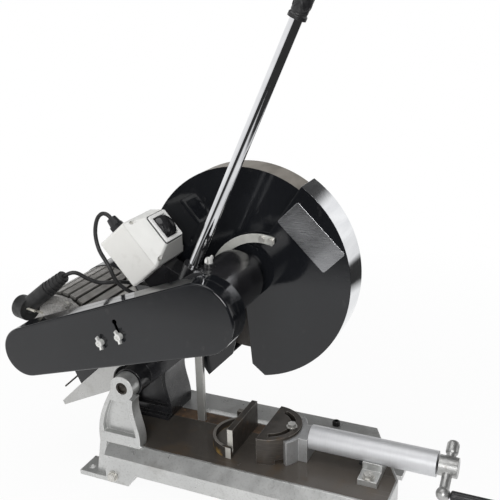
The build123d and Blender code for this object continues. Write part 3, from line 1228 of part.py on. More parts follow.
def make_ram_head():
    """Curved cradle behind the moving jaw, a block for the tube, and a shoe under the jaw for its bolt."""
    low = BED_HEIGHT + FIT_GAP
    centre = (MOVING_FACE, VISE_Y)
    right = MOVING_FACE + HEAD_RIGHT
    seat = MOVING_JAW_RADIUS + FIT_GAP
    cradle = sector(centre, seat + CRADLE_WALL, CRADLE_HALF_ANGLE)
    tube_block = Pos(*centre) * Rectangle(HEAD_RIGHT, 2 * HEAD_HALF_WIDTH, align=(Align.MIN, Align.CENTER))
    head = raised(cradle + tube_block - Pos(*centre) * Circle(seat), low, low + HEAD_HEIGHT)
    shoe_left = MOVING_FACE + JAW_SLOT_RADIUS - 2 * JAW_BOLT_RADIUS
    shoe_sides = (VISE_Y - SHOE_HALF_WIDTH, VISE_Y + SHOE_HALF_WIDTH)
    return head + block((shoe_left, right), shoe_sides, (low, low + SHOE_HEIGHT))


def rod_x(radius, left, right):
    """Round bar on the vise's axis."""
    return rod((left, VISE_Y, TUBE_Z), (right, VISE_Y, TUBE_Z), radius)


def make_vise_tube():
    """Ram tube, slotted below for the nut post and closed by a bush at its outer end."""
    bore = TUBE_RADIUS - TUBE_WALL
    tube = rod_x(TUBE_RADIUS, TUBE_LEFT, TUBE_RIGHT) - rod_x(bore, TUBE_LEFT, TUBE_RIGHT - TUBE_END)
    tube -= rod_x(SCREW_RADIUS + RUN_GAP, TUBE_LEFT, TUBE_RIGHT)
    half = NUT_POST_WIDTH / 2 + OVERCUT
    right = BRACKET_LEFT + BRACKET_LENGTH
    slot = (BRACKET_LEFT - RAM_OPEN - TUBE_SLOT_PLAY, right + RAM_CLOSE + TUBE_SLOT_PLAY)
    return tube - block(slot, (VISE_Y - half, VISE_Y + half), (TUBE_Z - 2 * TUBE_RADIUS, TUBE_Z))


def make_vise_screw():
    right = CRANK_LEFT + CRANK_HUB_LENGTH - CRANK_END_WALL - FACE_GAP
    return rod_x(SCREW_RADIUS, TUBE_LEFT + SCREW_INSET, right)


def make_vise_bracket():
    """Saddle bolted to the bed: flange, cradle under the tube, and the nut post inside the tube."""
    right = BRACKET_LEFT + BRACKET_LENGTH
    low = BED_HEIGHT
    flange_top = low + BRACKET_THICKNESS
    bracket = block((BRACKET_LEFT, right), (VISE_Y - BRACKET_HALF_WIDTH, VISE_Y + BRACKET_HALF_WIDTH),
                    (low, flange_top))
    bracket += block((BRACKET_LEFT, right), (VISE_Y - CRADLE_HALF_WIDTH, VISE_Y + CRADLE_HALF_WIDTH),
                     (low, low + CRADLE_HEIGHT))
    bracket -= rod_x(TUBE_RADIUS + FIT_GAP, BRACKET_LEFT - OVERCUT, right + OVERCUT)
    half = NUT_POST_WIDTH / 2
    nut_left, nut_right = BRACKET_LEFT + NUT_POST_MARGIN, right - NUT_POST_MARGIN
    bracket += block((nut_left, nut_right), (VISE_Y - half, VISE_Y + half), (low, TUBE_Z))
    bracket += rod_x(NUT_RADIUS, nut_left, nut_right)
    return bracket - rod_x(SCREW_RADIUS + RUN_GAP, BRACKET_LEFT, right)


def make_vise_bracket_bolts():
    x = BRACKET_LEFT + BRACKET_LENGTH / 2
    off = BRACKET_HALF_WIDTH - BRACKET_BOLT_INSET
    seat = BED_HEIGHT + BRACKET_THICKNESS + FACE_GAP
    bolts = [hex_bolt((x, VISE_Y + way * off, seat), (0, 0, 1), BRACKET_BOLT_RADIUS, STUB) for way in (-1, 1)]
    return Compound(children=[bolt.solid() for bolt in bolts])


def crank_point(along, x):
    """Point on the crank's arm, measured from the screw axis."""
    return (x, VISE_Y + along * cos(radians(CRANK_ANGLE)), TUBE_Z + along * sin(radians(CRANK_ANGLE)))


def make_crank_hub():
    """Cast crank: hub on the screw, a ball end for the grip and a round knob at the other end."""
    right = CRANK_LEFT + CRANK_HUB_LENGTH
    middle = (CRANK_LEFT + right) / 2
    hub = rod_x(CRANK_HUB_RADIUS, CRANK_LEFT, right)
    hub += rod(crank_point(-CRANK_LONG, middle), crank_point(CRANK_SHORT, middle), CRANK_ARM_RADIUS)
    hub += Pos(*crank_point(-CRANK_LONG, middle)) * Sphere(CRANK_BALL_RADIUS)
    knob_start = crank_point(CRANK_SHORT - CRANK_KNOB_LENGTH, middle)
    knob = rod(knob_start, crank_point(CRANK_SHORT, middle), CRANK_KNOB_RADIUS)
    hub += fillet(knob.edges(), CRANK_KNOB_RADIUS / 2)
    return hub - rod_x(SCREW_RADIUS + PRESS_GAP, CRANK_LEFT, right - CRANK_END_WALL)


def make_crank_grip():
    middle = CRANK_LEFT + CRANK_HUB_LENGTH / 2
    start = middle + CRANK_BALL_RADIUS + FACE_GAP
    end = start + CRANK_GRIP_LENGTH
    grip = rod(crank_point(-CRANK_LONG, start), crank_point(-CRANK_LONG, end), CRANK_GRIP_RADIUS)
    return fillet(grip.edges(), CRANK_GRIP_ROUND)


def make_parts():
    """Every node by name."""
    seat = NOSE_RADIUS + PRESS_GAP
    shaft = MOTOR_SHAFT_RADIUS + PRESS_GAP
    return {
        "base_frame": make_base_frame(),
        "bed_plate": make_bed_plate(),
        "rear_bed_strip": make_rear_bed_strip(),
        "front_pivot_ear": make_front_pivot_ear(),
        "rear_pivot_ear": make_rear_pivot_ear(),
        "pivot_shaft": make_pivot_shaft(),
        "pivot_bushes": make_pivot_bushes(),
        "stop_post": make_stop_post(),
        "apron_bolts": make_apron_bolts(),
        "arm_casting": make_arm_casting(),
        "wing_screw": make_wing_screw(),
        "motor_plate": make_motor_plate(),
        "motor_foot": make_motor_foot(),
        "motor_housing": make_motor_housing(),
        "motor_front_shield": make_motor_front_shield(),
        "motor_tie_bolts": make_motor_tie_bolts(),
        "motor_stator": make_motor_stator(),
        "motor_bearings": make_motor_bearings(),
        "motor_rotor": make_motor_rotor(),
        "cooling_fan": make_cooling_fan(),
        "fan_cover": make_fan_cover(),
        "motor_pulley": pulley(MOTOR, MOTOR_PULLEY_RADIUS, shaft),
        "spindle_pulley": pulley(SPINDLE, SPINDLE_PULLEY_RADIUS, seat),
        "drive_belt": make_drive_belt(),
        "spindle_shaft": make_spindle_shaft(),
        "wheel_flanges": make_wheel_flanges(),
        "cutting_wheel": make_cutting_wheel(),
        "spindle_nut": make_spindle_nut(),
        "spindle_housing": make_spindle_housing(),
        "spindle_bearings": make_spindle_bearings(),
        "fixed_wheel_guard": make_fixed_wheel_guard(),
        "moving_wheel_guard": make_moving_wheel_guard(),
        "guard_strap": make_guard_strap(),
        "strap_bolts": make_strap_bolts(),
        "belt_guard_cover": make_belt_guard_cover(),
        "belt_guard_pan": make_belt_guard_pan(),
        "belt_guard_bolts": make_belt_guard_bolts(),
        "handle_tube": make_handle_tube(),
        "handle_grip": make_handle_grip(),
        "box_bracket": make_box_bracket(),
        "switch_box": make_switch_box(),
        "switch_lid": make_switch_lid(),
        "lid_screws": make_lid_screws(),
        "switch_bezel": make_switch_bezel(),
        "switch_rocker": make_switch_rocker(),
        "cable_gland": make_cable_gland(),
        "power_cord": make_power_cord(),
        "plug_body": make_plug_body(),
        "plug_pins": make_plug_pins(),
        "fixed_jaw": make_fixed_jaw(),
        "fixed_jaw_bolt": make_fixed_jaw_bolt(),
        "moving_jaw": make_moving_jaw(),
        "moving_jaw_bolt": make_moving_jaw_bolt(),
        "ram_head": make_ram_head(),
        "vise_tube": make_vise_tube(),
        "vise_screw": make_vise_screw(),
        "vise_bracket": make_vise_bracket(),
        "vise_bracket_bolts": make_vise_bracket_bolts(),
        "crank_hub": make_crank_hub(),
        "crank_grip": make_crank_grip(),
    }


os.makedirs("parts", exist_ok=True)
for name, shape in make_parts().items():
    export_step(shape, f"parts/{name}.step")
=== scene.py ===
import bpy
import numpy as np
from mathutils import Matrix, Vector


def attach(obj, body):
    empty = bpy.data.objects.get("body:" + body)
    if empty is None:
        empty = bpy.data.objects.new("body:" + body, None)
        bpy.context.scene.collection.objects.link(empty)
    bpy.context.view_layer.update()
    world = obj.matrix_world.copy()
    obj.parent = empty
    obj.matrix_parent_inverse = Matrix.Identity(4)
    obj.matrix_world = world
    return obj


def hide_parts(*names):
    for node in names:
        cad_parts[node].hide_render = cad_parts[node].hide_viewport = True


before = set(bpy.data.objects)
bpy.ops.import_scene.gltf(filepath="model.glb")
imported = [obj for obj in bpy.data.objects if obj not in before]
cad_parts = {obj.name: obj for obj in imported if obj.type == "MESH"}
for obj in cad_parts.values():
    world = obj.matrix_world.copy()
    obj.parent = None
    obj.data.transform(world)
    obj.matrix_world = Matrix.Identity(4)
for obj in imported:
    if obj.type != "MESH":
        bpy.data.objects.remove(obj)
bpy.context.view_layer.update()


# The bright edge colour is partly that wear and partly a painted highlight along the edges.
# Base casting, front pivot ear, stop post and vise saddle.
# Grey iron castings and a flat bar, fettled and sprayed with aluminium lacquer, rubbed bright at the edges.
# The ears and the saddle are bolted to the bed; the post is welded at its foot.
def finish(name, roughness, metallic=0.0):
    """New material. The values that are the same all over go on the shader's own sockets."""
    material = bpy.data.materials.new(name)
    material.use_nodes = True
    shader = material.node_tree.nodes["Principled BSDF"]
    shader.inputs["Roughness"].default_value = roughness
    shader.inputs["Metallic"].default_value = metallic
    return material, material.node_tree, shader


def feed(tree, value, socket):
    """Links another node's output to a socket, or writes a plain value on it."""
    if isinstance(value, bpy.types.NodeSocket):
        tree.links.new(value, socket)
    else:
        socket.default_value = value


def place(tree, stretch=(1, 1, 1), turn=(0, 0, 0), shift=(0, 0, 0)):
    """Object coordinates, stretched along each axis, then turned and shifted."""
    coordinate = tree.nodes.new("ShaderNodeTexCoord")
    mapping = tree.nodes.new("ShaderNodeMapping")
    for socket, values in (("Scale", stretch), ("Rotation", turn), ("Location", shift)):
        mapping.inputs[socket].default_value = values
    tree.links.new(coordinate.outputs["Object"], mapping.inputs["Vector"])
    return mapping.outputs["Vector"]


def spread(tree, value, low, high, start=0.0, end=1.0):
    """A value carried from its range low to high onto start to end, and held at the ends."""
    mapped = tree.nodes.new("ShaderNodeMapRange")
    for socket, number in (("From Min", low), ("From Max", high), ("To Min", start), ("To Max", end)):
        mapped.inputs[socket].default_value = number
    tree.links.new(value, mapped.inputs["Value"])
    return mapped.outputs["Result"]


def cloud(tree, scale, low=0.3, high=0.7, detail=6.0, stretch=(1, 1, 1), turn=(0, 0, 0)):
    """Soft noise pattern that runs from 0 at the low value to 1 at the high one."""
    noise = tree.nodes.new("ShaderNodeTexNoise")
    noise.inputs["Scale"].default_value = scale
    noise.inputs["Detail"].default_value = detail
    tree.links.new(place(tree, stretch, turn), noise.inputs["Vector"])
    return spread(tree, noise.outputs[0], low, high)


def between(tree, pattern, first, second):
    """Colour that goes from the first to the second as the pattern goes from 0 to 1."""
    mix = tree.nodes.new("ShaderNodeMix")
    mix.data_type = "RGBA"
    tree.links.new(pattern, mix.inputs[0])
    for index, colour in ((6, first), (7, second)):
        feed(tree, (*colour, 1) if isinstance(colour, tuple) else colour, mix.inputs[index])
    return mix.outputs[2]


def veil(tree, shade, pattern, share, colour):
    """The shade, with up to a share of another colour laid over it where the pattern is 1."""
    return between(tree, spread(tree, pattern, 0, 1, 0, share), shade, colour)


def joined(tree, operation, first, *others):
    """Patterns taken together one after the other, as their product or as the larger one."""
    for other in others:
        node = tree.nodes.new("ShaderNodeMath")
        node.operation = operation
        tree.links.new(first, node.inputs[0])
        tree.links.new(other, node.inputs[1])
        first = node.outputs["Value"]
    return first


def measure(tree, operation, vector, other=(0, 0, 0)):
    """One number from a vector: its length, or its dot product with another one."""
    node = tree.nodes.new("ShaderNodeVectorMath")
    node.operation = operation
    tree.links.new(vector, node.inputs[0])
    feed(tree, other, node.inputs[1])
    return node.outputs["Value"]


def rounded(tree, radius):
    """Normal of a surface whose sharp edges are broken by this radius."""
    edge = tree.nodes.new("ShaderNodeBevel")
    edge.samples = 6
    edge.inputs["Radius"].default_value = radius
    return edge.outputs["Normal"]


def edge_wear_and_highlight(tree, radius, low=0.84, high=0.98):
    """1 on sharp edges and 0 elsewhere: how far the broken edge's normal leans from the true one."""
    geometry = tree.nodes.new("ShaderNodeNewGeometry")
    lean = measure(tree, "DOT_PRODUCT", rounded(tree, radius), geometry.outputs["Normal"])
    return spread(tree, lean, high, low)


def relief(tree, shader, pattern, depth, strength=1.0, edge=0.0):
    """Bump from a pattern, the depth in metres, over edges broken by the edge radius."""
    bump = tree.nodes.new("ShaderNodeBump")
    bump.inputs["Distance"].default_value = depth
    bump.inputs["Strength"].default_value = strength
    tree.links.new(pattern, bump.inputs["Height"])
    if edge:
        tree.links.new(rounded(tree, edge), bump.inputs["Normal"])
    tree.links.new(bump.outputs["Normal"], shader.inputs["Normal"])


def coat(tree, shader, shade, sheen=None, smooth=0.0, rough=1.0):
    """Colour, and a roughness that runs from smooth to rough with the sheen pattern where one is given."""
    tree.links.new(shade, shader.inputs["Base Color"])
    if sheen is not None:
        tree.links.new(spread(tree, sheen, 0, 1, smooth, rough), shader.inputs["Roughness"])


def dress(material, *names):
    """Gives CAD nodes this material in every slot."""
    for name in names:
        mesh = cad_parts[name].data
        mesh.materials.clear()
        mesh.materials.append(material)


def aluminium_lacquer(name, dark, light):
    """Silver lacquer on a cast skin, with handling dirt and specks, and bright edges: rubbed wear and a
    painted highlight.
    """
    material, tree, shader = finish(name, roughness=0.38, metallic=0.70)
    shade = between(tree, cloud(tree, 7), dark, light)
    dirt = cloud(tree, 24, 0.58, 0.80, detail=9)
    shade = veil(tree, shade, dirt, share=0.45, colour=(0.21, 0.195, 0.17))
    speck = cloud(tree, 260, 0.52, 0.72, detail=4)
    shade = veil(tree, shade, speck, share=0.30, colour=(0.24, 0.235, 0.22))
    # Bright edges: partly rubbed wear, partly a painted highlight along them.
    bright = joined(tree, "MULTIPLY", edge_wear_and_highlight(tree, 0.0018, high=0.985), cloud(tree, 50, 0.25, 0.45))
    shade = between(tree, bright, shade, (0.92, 0.92, 0.90))
    coat(tree, shader, shade, cloud(tree, 40), smooth=0.27, rough=0.39)
    relief(tree, shader, cloud(tree, 330, detail=4), depth=0.0002, strength=0.25, edge=0.0022)
    return material


dress(aluminium_lacquer("aluminium_lacquer", dark=(0.52, 0.525, 0.52), light=(0.64, 0.645, 0.635)),
      "base_frame", "front_pivot_ear", "vise_bracket")
# The stop post's darker lacquer is painted shade for the post, which stands under the arm and guards.
dress(aluminium_lacquer("post_lacquer_painted_shade", dark=(0.40, 0.40, 0.385), light=(0.52, 0.52, 0.50)), "stop_post")


# Rear pivot ear.
# The same casting as the front one, bolted to the bed and painted black with the arm; the black is also
# painted shade between the ears.
up = (0, 0, 1)


def facing(tree, direction, low, high):
    """0 to 1 as the piece's own normal comes round to a direction, from the low cosine to the high one."""
    coordinate = tree.nodes.new("ShaderNodeTexCoord")
    lean = measure(tree, "DOT_PRODUCT", coordinate.outputs["Normal"], direction)
    return spread(tree, lean, low, high)


def black_casting_paint(name, dusty, smooth, rough, strength):
    """Black gloss over a cast skin, with a share of grey dust on top; the strength is that of its bump."""
    material, tree, shader = finish(name, roughness=rough)
    shade = between(tree, cloud(tree, 20), (0.009, 0.009, 0.010), (0.021, 0.021, 0.023))
    settled = cloud(tree, 30, 0.42, 0.75, detail=9)
    dust = joined(tree, "MULTIPLY", facing(tree, up, 0.3, 1.0), settled)
    shade = veil(tree, shade, dust, share=dusty, colour=(0.060, 0.057, 0.053))
    rubbed = edge_wear_and_highlight(tree, 0.0012, low=0.82, high=0.97)
    bright = joined(tree, "MULTIPLY", rubbed, cloud(tree, 70, 0.45, 0.62))
    shade = veil(tree, shade, bright, share=0.6, colour=(0.16, 0.155, 0.15))
    coat(tree, shader, shade, cloud(tree, 50), smooth, rough)
    relief(tree, shader, cloud(tree, 260), depth=0.00025, strength=strength, edge=0.0018)
    return material


# Painted shade: the ear's black also stands for the shade that falls between the ears.
dress(black_casting_paint("dusty_casting", dusty=0.3, smooth=0.20, rough=0.40, strength=0.40),
      "rear_pivot_ear")


# Bed plate.
# Hot-rolled steel plate, ground on top and let into the bed flush.
# It is dark from cutting oil, which leaves a smooth film over brown stains, pits and a few fine scratches.
def oily_plate():
    material, tree, shader = finish("oily_plate", roughness=0.3)
    shade = between(tree, cloud(tree, 5, detail=8), (0.056, 0.050, 0.044), (0.110, 0.097, 0.085))
    stain = cloud(tree, 16, 0.54, 0.72, detail=10)
    shade = veil(tree, shade, stain, share=0.7, colour=(0.105, 0.074, 0.048))
    scratch = cloud(tree, 60, 0.66, 0.70, detail=2, stretch=(0.10, 2.6, 1))
    shade = veil(tree, shade, scratch, share=0.25, colour=(0.22, 0.21, 0.19))
    pit = cloud(tree, 420, 0.68, 0.76, detail=2)
    shade = between(tree, pit, shade, (0.012, 0.010, 0.009))
    # Pale edges: partly wear, partly a painted highlight along the plate's edges.
    shade = between(tree, edge_wear_and_highlight(tree, 0.0012), shade, (0.30, 0.28, 0.26))
    coat(tree, shader, shade, cloud(tree, 12, detail=8), smooth=0.14, rough=0.28)
    relief(tree, shader, pit, depth=-0.0001, strength=0.5, edge=0.0006)
    return material


dress(oily_plate(), "bed_plate")


# Rear bed strip.
# The strip of plate behind the blade slot, which catches the wet sparks and has rusted rough.
def rusty_plate():
    material, tree, shader = finish("rusty_plate", roughness=0.75, metallic=0.1)
    patch = cloud(tree, 30, 0.35, 0.68, detail=10)
    shade = between(tree, patch, (0.060, 0.042, 0.030), (0.155, 0.098, 0.060))
    shade = between(tree, cloud(tree, 90, 0.56, 0.70, detail=8), shade, (0.22, 0.125, 0.055))
    shade = between(tree, cloud(tree, 14, 0.58, 0.72, detail=8), shade, (0.050, 0.045, 0.041))
    coat(tree, shader, shade, cloud(tree, 40), smooth=0.55, rough=0.9)
    relief(tree, shader, cloud(tree, 300, detail=8), depth=0.0004, strength=0.7, edge=0.0006)
    return material


dress(rusty_plate(), "rear_bed_strip")


# Bed screws and saddle screw.
# Blackened socket-head screws: two hold the bed's rear rail and stand proud of it, and a smaller one is set
# in the side of the vise saddle.
def skin(rings, closed=False):
    """Points and outward faces of a surface given as rings of points: quads join each ring to the next, and
    a fan about each end ring's middle closes it, unless the last ring joins the first."""
    count, around = rings.shape[:2]
    first, step = np.meshgrid(np.arange(count if closed else count - 1), np.arange(around), indexing="ij")
    after, turn = (first + 1) % count, (step + 1) % around
    quads = np.stack((first * around + step, first * around + turn, after * around + turn,
                      after * around + step), axis=-1).reshape(-1, 4).tolist()
    points = rings.reshape(-1, 3)
    if closed:
        return points, quads
    points = np.vstack((points, rings[0].mean(axis=0), rings[-1].mean(axis=0)))
    edge = np.arange(around)
    near = np.stack((np.full(around, count * around), (edge + 1) % around, edge), axis=-1)
    far = np.stack((np.full(around, count * around + 1), edge, (edge + 1) % around), axis=-1)
    far[:, 1:] += (count - 1) * around
    return points, quads + near.tolist() + far.tolist()


def full_turn(count):
    """Angles spaced evenly round a circle."""
    return np.arange(count) / count * 2 * np.pi


def unit(vectors):
    """Vectors brought to length 1."""
    return vectors / np.linalg.norm(vectors, axis=-1, keepdims=True)


def circles(first, second, count):
    """Points spaced evenly round the unit circle that each pair of directions spans: the first direction
    times the angle's cosine, and the second times its sine."""
    angle = full_turn(count)[:, None]
    return np.cos(angle) * first[..., None, :] + np.sin(angle) * second[..., None, :]


def turned(start, direction, stations, radii):
    """Rings about a line: ring i lies at stations[i] along it, its radius at each angle given by radii[i]."""
    direction = unit(np.array(direction))
    upright = (0, 1, 0) if abs(direction[1]) < 0.9 else (1, 0, 0)
    side = unit(np.cross(direction, upright))
    spokes = circles(side, np.cross(direction, side), radii.shape[1])
    return np.array(start) + np.array(stations)[:, None, None] * direction + radii[:, :, None] * spokes


def piece(name, surfaces, material, body, sharp=40):
    """One object from several closed surfaces, riding on a body. Edges over the sharp angle stay crisp."""
    points, faces, total = [], [], 0
    for surface_points, surface_faces in surfaces:
        points.append(surface_points)
        faces += [[corner + total for corner in face] for face in surface_faces]
        total += len(surface_points)
    mesh = bpy.data.meshes.new(name)
    mesh.from_pydata(np.vstack(points).tolist(), [], faces)
    mesh.polygons.foreach_set("use_smooth", np.ones(len(mesh.polygons), dtype=bool))
    mesh.set_sharp_from_angle(angle=np.radians(sharp))
    mesh.materials.append(material)
    made = bpy.data.objects.new(name, mesh)
    bpy.context.scene.collection.objects.link(made)
    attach(made, body)
    return made


def black_oxide():
    """Oil-blackened steel, worn to grey on the edges."""
    material, tree, shader = finish("black_oxide", roughness=0.35, metallic=0.6)
    shade = between(tree, cloud(tree, 150), (0.014, 0.014, 0.015), (0.040, 0.039, 0.038))
    shade = between(tree, edge_wear_and_highlight(tree, 0.0005, low=0.80, high=0.97), shade, (0.18, 0.175, 0.17))
    coat(tree, shader, shade)
    relief(tree, shader, cloud(tree, 900, detail=3), depth=0.00005, strength=0.5, edge=0.0006)
    return material


def socket_screw(foot, direction, radius, height, around=48, knurls=24):
    """Cap screw: a rim whose knurls follow a cosine of the angle, chamfer, flat top, and a six-sided socket
    whose wall follows the hexagon's radius cos(30) / cos(angle from the middle of the nearest side)."""
    angle = full_turn(around)
    rim = radius * (1 + 0.02 * np.cos(knurls * angle))
    chamfer = np.full(around, 0.88 * radius)
    hexagon = np.cos(np.pi / 6) / np.cos((angle % (np.pi / 3)) - np.pi / 6)
    stations = [-0.0003, 0.82 * height, height, height, 0.45 * height]
    radii = np.stack((rim, rim, chamfer, 0.56 * radius * hexagon, 0.54 * radius * hexagon))
    return skin(turned(foot, direction, stations, radii))


oxide = black_oxide()
piece("bed_screws", [socket_screw(foot, direction=up, radius=0.0080, height=0.0095)
                     for foot in ((0.168, 0.103, 0.088), (-0.150, 0.098, 0.088))],
      oxide, "base")
saddle_cap = socket_screw((0.2672, -0.032, 0.1065), direction=(-1, 0, 0), radius=0.0060, height=0.0085)
piece("saddle_screw", [saddle_cap], oxide, "base")


# Bolts, nuts and screws of the base, vise, motor, guards and switch box.
# Cold-headed steel, zinc plated to a slightly warm grey, with tool marks.
def zinc_plate():
    material, tree, shader = finish("zinc_plate", roughness=0.32, metallic=0.8)
    shade = between(tree, cloud(tree, 160), (0.52, 0.51, 0.48), (0.70, 0.69, 0.66))
    shade = between(tree, cloud(tree, 90, 0.62, 0.78, detail=8), shade, (0.30, 0.27, 0.23))
    coat(tree, shader, shade, cloud(tree, 240), smooth=0.24, rough=0.42)
    relief(tree, shader, cloud(tree, 900, detail=3), depth=0.00006, strength=0.5, edge=0.0007)
    return material


dress(zinc_plate(), "apron_bolts", "vise_bracket_bolts", "fixed_jaw_bolt", "moving_jaw_bolt",
      "motor_tie_bolts", "strap_bolts", "spindle_nut", "lid_screws")


# Wing screw and the belt guard's wing nuts.
# Die-cast zinc, left as cast and tumbled pale.
def cast_zinc():
    material, tree, shader = finish("cast_zinc", roughness=0.45, metallic=0.35)
    shade = between(tree, cloud(tree, 120), (0.70, 0.70, 0.68), (0.82, 0.82, 0.80))
    coat(tree, shader, shade, cloud(tree, 200), smooth=0.36, rough=0.52)
    relief(tree, shader, cloud(tree, 700, detail=3), depth=0.00008, strength=0.5, edge=0.0012)
    return material


dress(cast_zinc(), "wing_screw", "belt_guard_bolts")


# Pivot shaft and bushes.
# Turned steel, dark with old grease where the ends show in the ears.
def greased_steel():
    material, tree, shader = finish("greased_steel", roughness=0.42, metallic=0.7)
    film = cloud(tree, 90, 0.35, 0.7, detail=8)
    shade = between(tree, film, (0.016, 0.014, 0.012), (0.085, 0.075, 0.064))
    coat(tree, shader, shade, cloud(tree, 60), smooth=0.3, rough=0.6)
    relief(tree, shader, cloud(tree, 500, detail=4), depth=0.0001, strength=0.5, edge=0.0006)
    return material


grease = greased_steel()
dress(grease, "pivot_shaft", "pivot_bushes")


# Vise jaws.
# Steel castings, oiled dark brown, with fine planing lines on the sides and edges rubbed bright.
# The fixed jaw's ring has rusted to gold along its foot, and the end of its plate is freshly ground.
left, right = (-1, 0, 0), (1, 0, 0)
front, back, down = (0, -1, 0), (0, 1, 0), (0, 0, -1)


def along(tree, direction, low, high):
    """0 to 1 as the place measured along a direction goes from low to high, in metres."""
    return spread(tree, measure(tree, "DOT_PRODUCT", place(tree), direction), low, high)


def jaw_steel(name, ringed):
    """Oiled casting with planing lines; a ringed jaw has other colours on its ring and on its plate's end."""
    material, tree, shader = finish(name, roughness=0.45, metallic=0.35)
    oil = cloud(tree, 22, 0.32, 0.68, detail=8)
    shade = between(tree, oil, (0.030, 0.026, 0.023), (0.066, 0.056, 0.047))
    planing = cloud(tree, 300, 0.35, 0.65, detail=3, stretch=(0.08, 0.08, 3.0))
    shade = veil(tree, shade, planing, share=0.35, colour=(0.13, 0.115, 0.10))
    rust = cloud(tree, 46, 0.58, 0.72, detail=9)
    shade = veil(tree, shade, rust, share=0.4, colour=(0.15, 0.085, 0.04))
    if ringed:
        ring = along(tree, left, 0.002, 0.006)
        foot = along(tree, down, -0.103, -0.094)
        gold = joined(tree, "MULTIPLY", ring, foot, cloud(tree, 60, 0.35, 0.6, detail=8))
        shade = between(tree, gold, shade, (0.40, 0.25, 0.075))
        top = joined(tree, "MULTIPLY", ring, facing(tree, up, 0.8, 0.95))
        shade = between(tree, top, shade, (0.27, 0.25, 0.225))
        plate = along(tree, right, 0.003, 0.005)
        ground = joined(tree, "MULTIPLY", plate, facing(tree, front, 0.9, 0.97))
        shade = between(tree, ground, shade, (0.58, 0.565, 0.52))
    bright = joined(tree, "MULTIPLY", edge_wear_and_highlight(tree, 0.0011), cloud(tree, 120, 0.3, 0.5))
    shade = between(tree, bright, shade, (0.50, 0.47, 0.43))
    coat(tree, shader, shade, cloud(tree, 70), smooth=0.30, rough=0.55)
    relief(tree, shader, planing, depth=0.00008, strength=0.5, edge=0.0012)
    return material


dress(jaw_steel("moving_jaw_steel", ringed=False), "moving_jaw")
dress(jaw_steel("fixed_jaw_steel", ringed=True), "fixed_jaw")


# Vise ram head and tube.
# The head is a casting under the base's lacquer, dirtier; the tube is drawn steel with a satin skin.
# The saw's shafts, flanges and bearings have the same bare steel.
dress(aluminium_lacquer("ram_lacquer", dark=(0.45, 0.455, 0.46), light=(0.59, 0.595, 0.60)), "ram_head")


def satin_tube():
    """Drawn tube: fine rings round it and faint handling marks."""
    material, tree, shader = finish("satin_tube", roughness=0.30, metallic=0.6)
    ring = cloud(tree, 260, detail=3, stretch=(6, 0.05, 0.05))
    shade = between(tree, ring, (0.64, 0.645, 0.66), (0.68, 0.685, 0.70))
    mark = cloud(tree, 26, 0.60, 0.80, detail=8)
    shade = veil(tree, shade, mark, share=0.3, colour=(0.36, 0.34, 0.32))
    coat(tree, shader, shade, cloud(tree, 60), smooth=0.44, rough=0.54)
    relief(tree, shader, ring, depth=0.00001, strength=0.2, edge=0.0008)
    return material


dress(satin_tube(), "vise_tube", "spindle_shaft", "wheel_flanges", "motor_rotor", "motor_bearings",
      "spindle_bearings")


# Vise screw.
# Steel rod with a square-topped thread of 6 mm pitch, which shows in the slot under the tube's end.
def threaded_rod(start, end, radius, depth, pitch, per_turn=8, around=24):
    """Thread: the radius falls by the depth where a wave of the station over the pitch, less the angle over
    a whole turn, is high, the wave being a sine stretched and cut off flat at both sides."""
    start, end = np.array(start), np.array(end)
    length = np.linalg.norm(end - start)
    stations = np.linspace(0, length, int(length / pitch * per_turn) + 1)
    turn = np.arange(around) / around
    wave = np.clip(0.5 + 0.9 * np.sin(2 * np.pi * (stations[:, None] / pitch - turn)), 0, 1)
    return skin(turned(start, end - start, stations, radius - depth * wave))


vise_rod = threaded_rod(start=(0.1642, -0.022, 0.131), end=(0.435, -0.022, 0.131),
                        radius=0.008, depth=0.0016, pitch=0.006)
vise_thread = piece("vise_thread", [vise_rod], grease, "crank", sharp=60)
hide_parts("vise_screw")


# Crank.
# Cast zinc alloy, tumbled, with a fluted black grip that turns on its own pin.
# The grip's black plastic also makes the cooling fan and the cable gland.
def crank_alloy():
    material, tree, shader = finish("crank_alloy", roughness=0.40, metallic=0.9)
    shade = between(tree, cloud(tree, 36), (0.40, 0.40, 0.395), (0.54, 0.54, 0.53))
    dirt = cloud(tree, 80, 0.58, 0.76, detail=8)
    shade = veil(tree, shade, dirt, share=0.7, colour=(0.20, 0.185, 0.165))
    coat(tree, shader, shade, cloud(tree, 120), smooth=0.32, rough=0.5)
    relief(tree, shader, cloud(tree, 420, detail=5), depth=0.0002, strength=0.6, edge=0.0018)
    return material


def black_moulding(name, smooth, rough):
    """Black plastic with a fine spark texture."""
    material, tree, shader = finish(name, roughness=rough)
    shade = between(tree, cloud(tree, 70), (0.010, 0.010, 0.011), (0.022, 0.022, 0.024))
    coat(tree, shader, shade, cloud(tree, 130), smooth, rough)
    relief(tree, shader, cloud(tree, 1500, detail=2), depth=0.00004, strength=0.5, edge=0.0008)
    return material


def fluted_grip(start, length, radius, flutes, rounding=0.003, plain=0.005, fade=0.004, share=0.05):
    """Grip on a line along X: the ends round in by a quarter circle, and flutes cut the side between them by
    a share of the radius that follows a cosine of the angle, faded out at the ends."""
    stations = np.linspace(0, 1, 61) * length
    from_end = np.minimum(stations, length - stations)
    shoulder = np.sqrt(np.clip(1 - (1 - np.clip(from_end / rounding, 0, 1)) ** 2, 0, 1))
    fluted = np.clip((from_end - plain) / fade, 0, 1)
    cut = share * fluted[:, None] * (0.5 + 0.5 * np.cos(flutes * full_turn(112)))
    radii = radius * (0.72 + 0.28 * shoulder[:, None]) * (1 - cut)
    return skin(turned(start, (1, 0, 0), stations, radii))


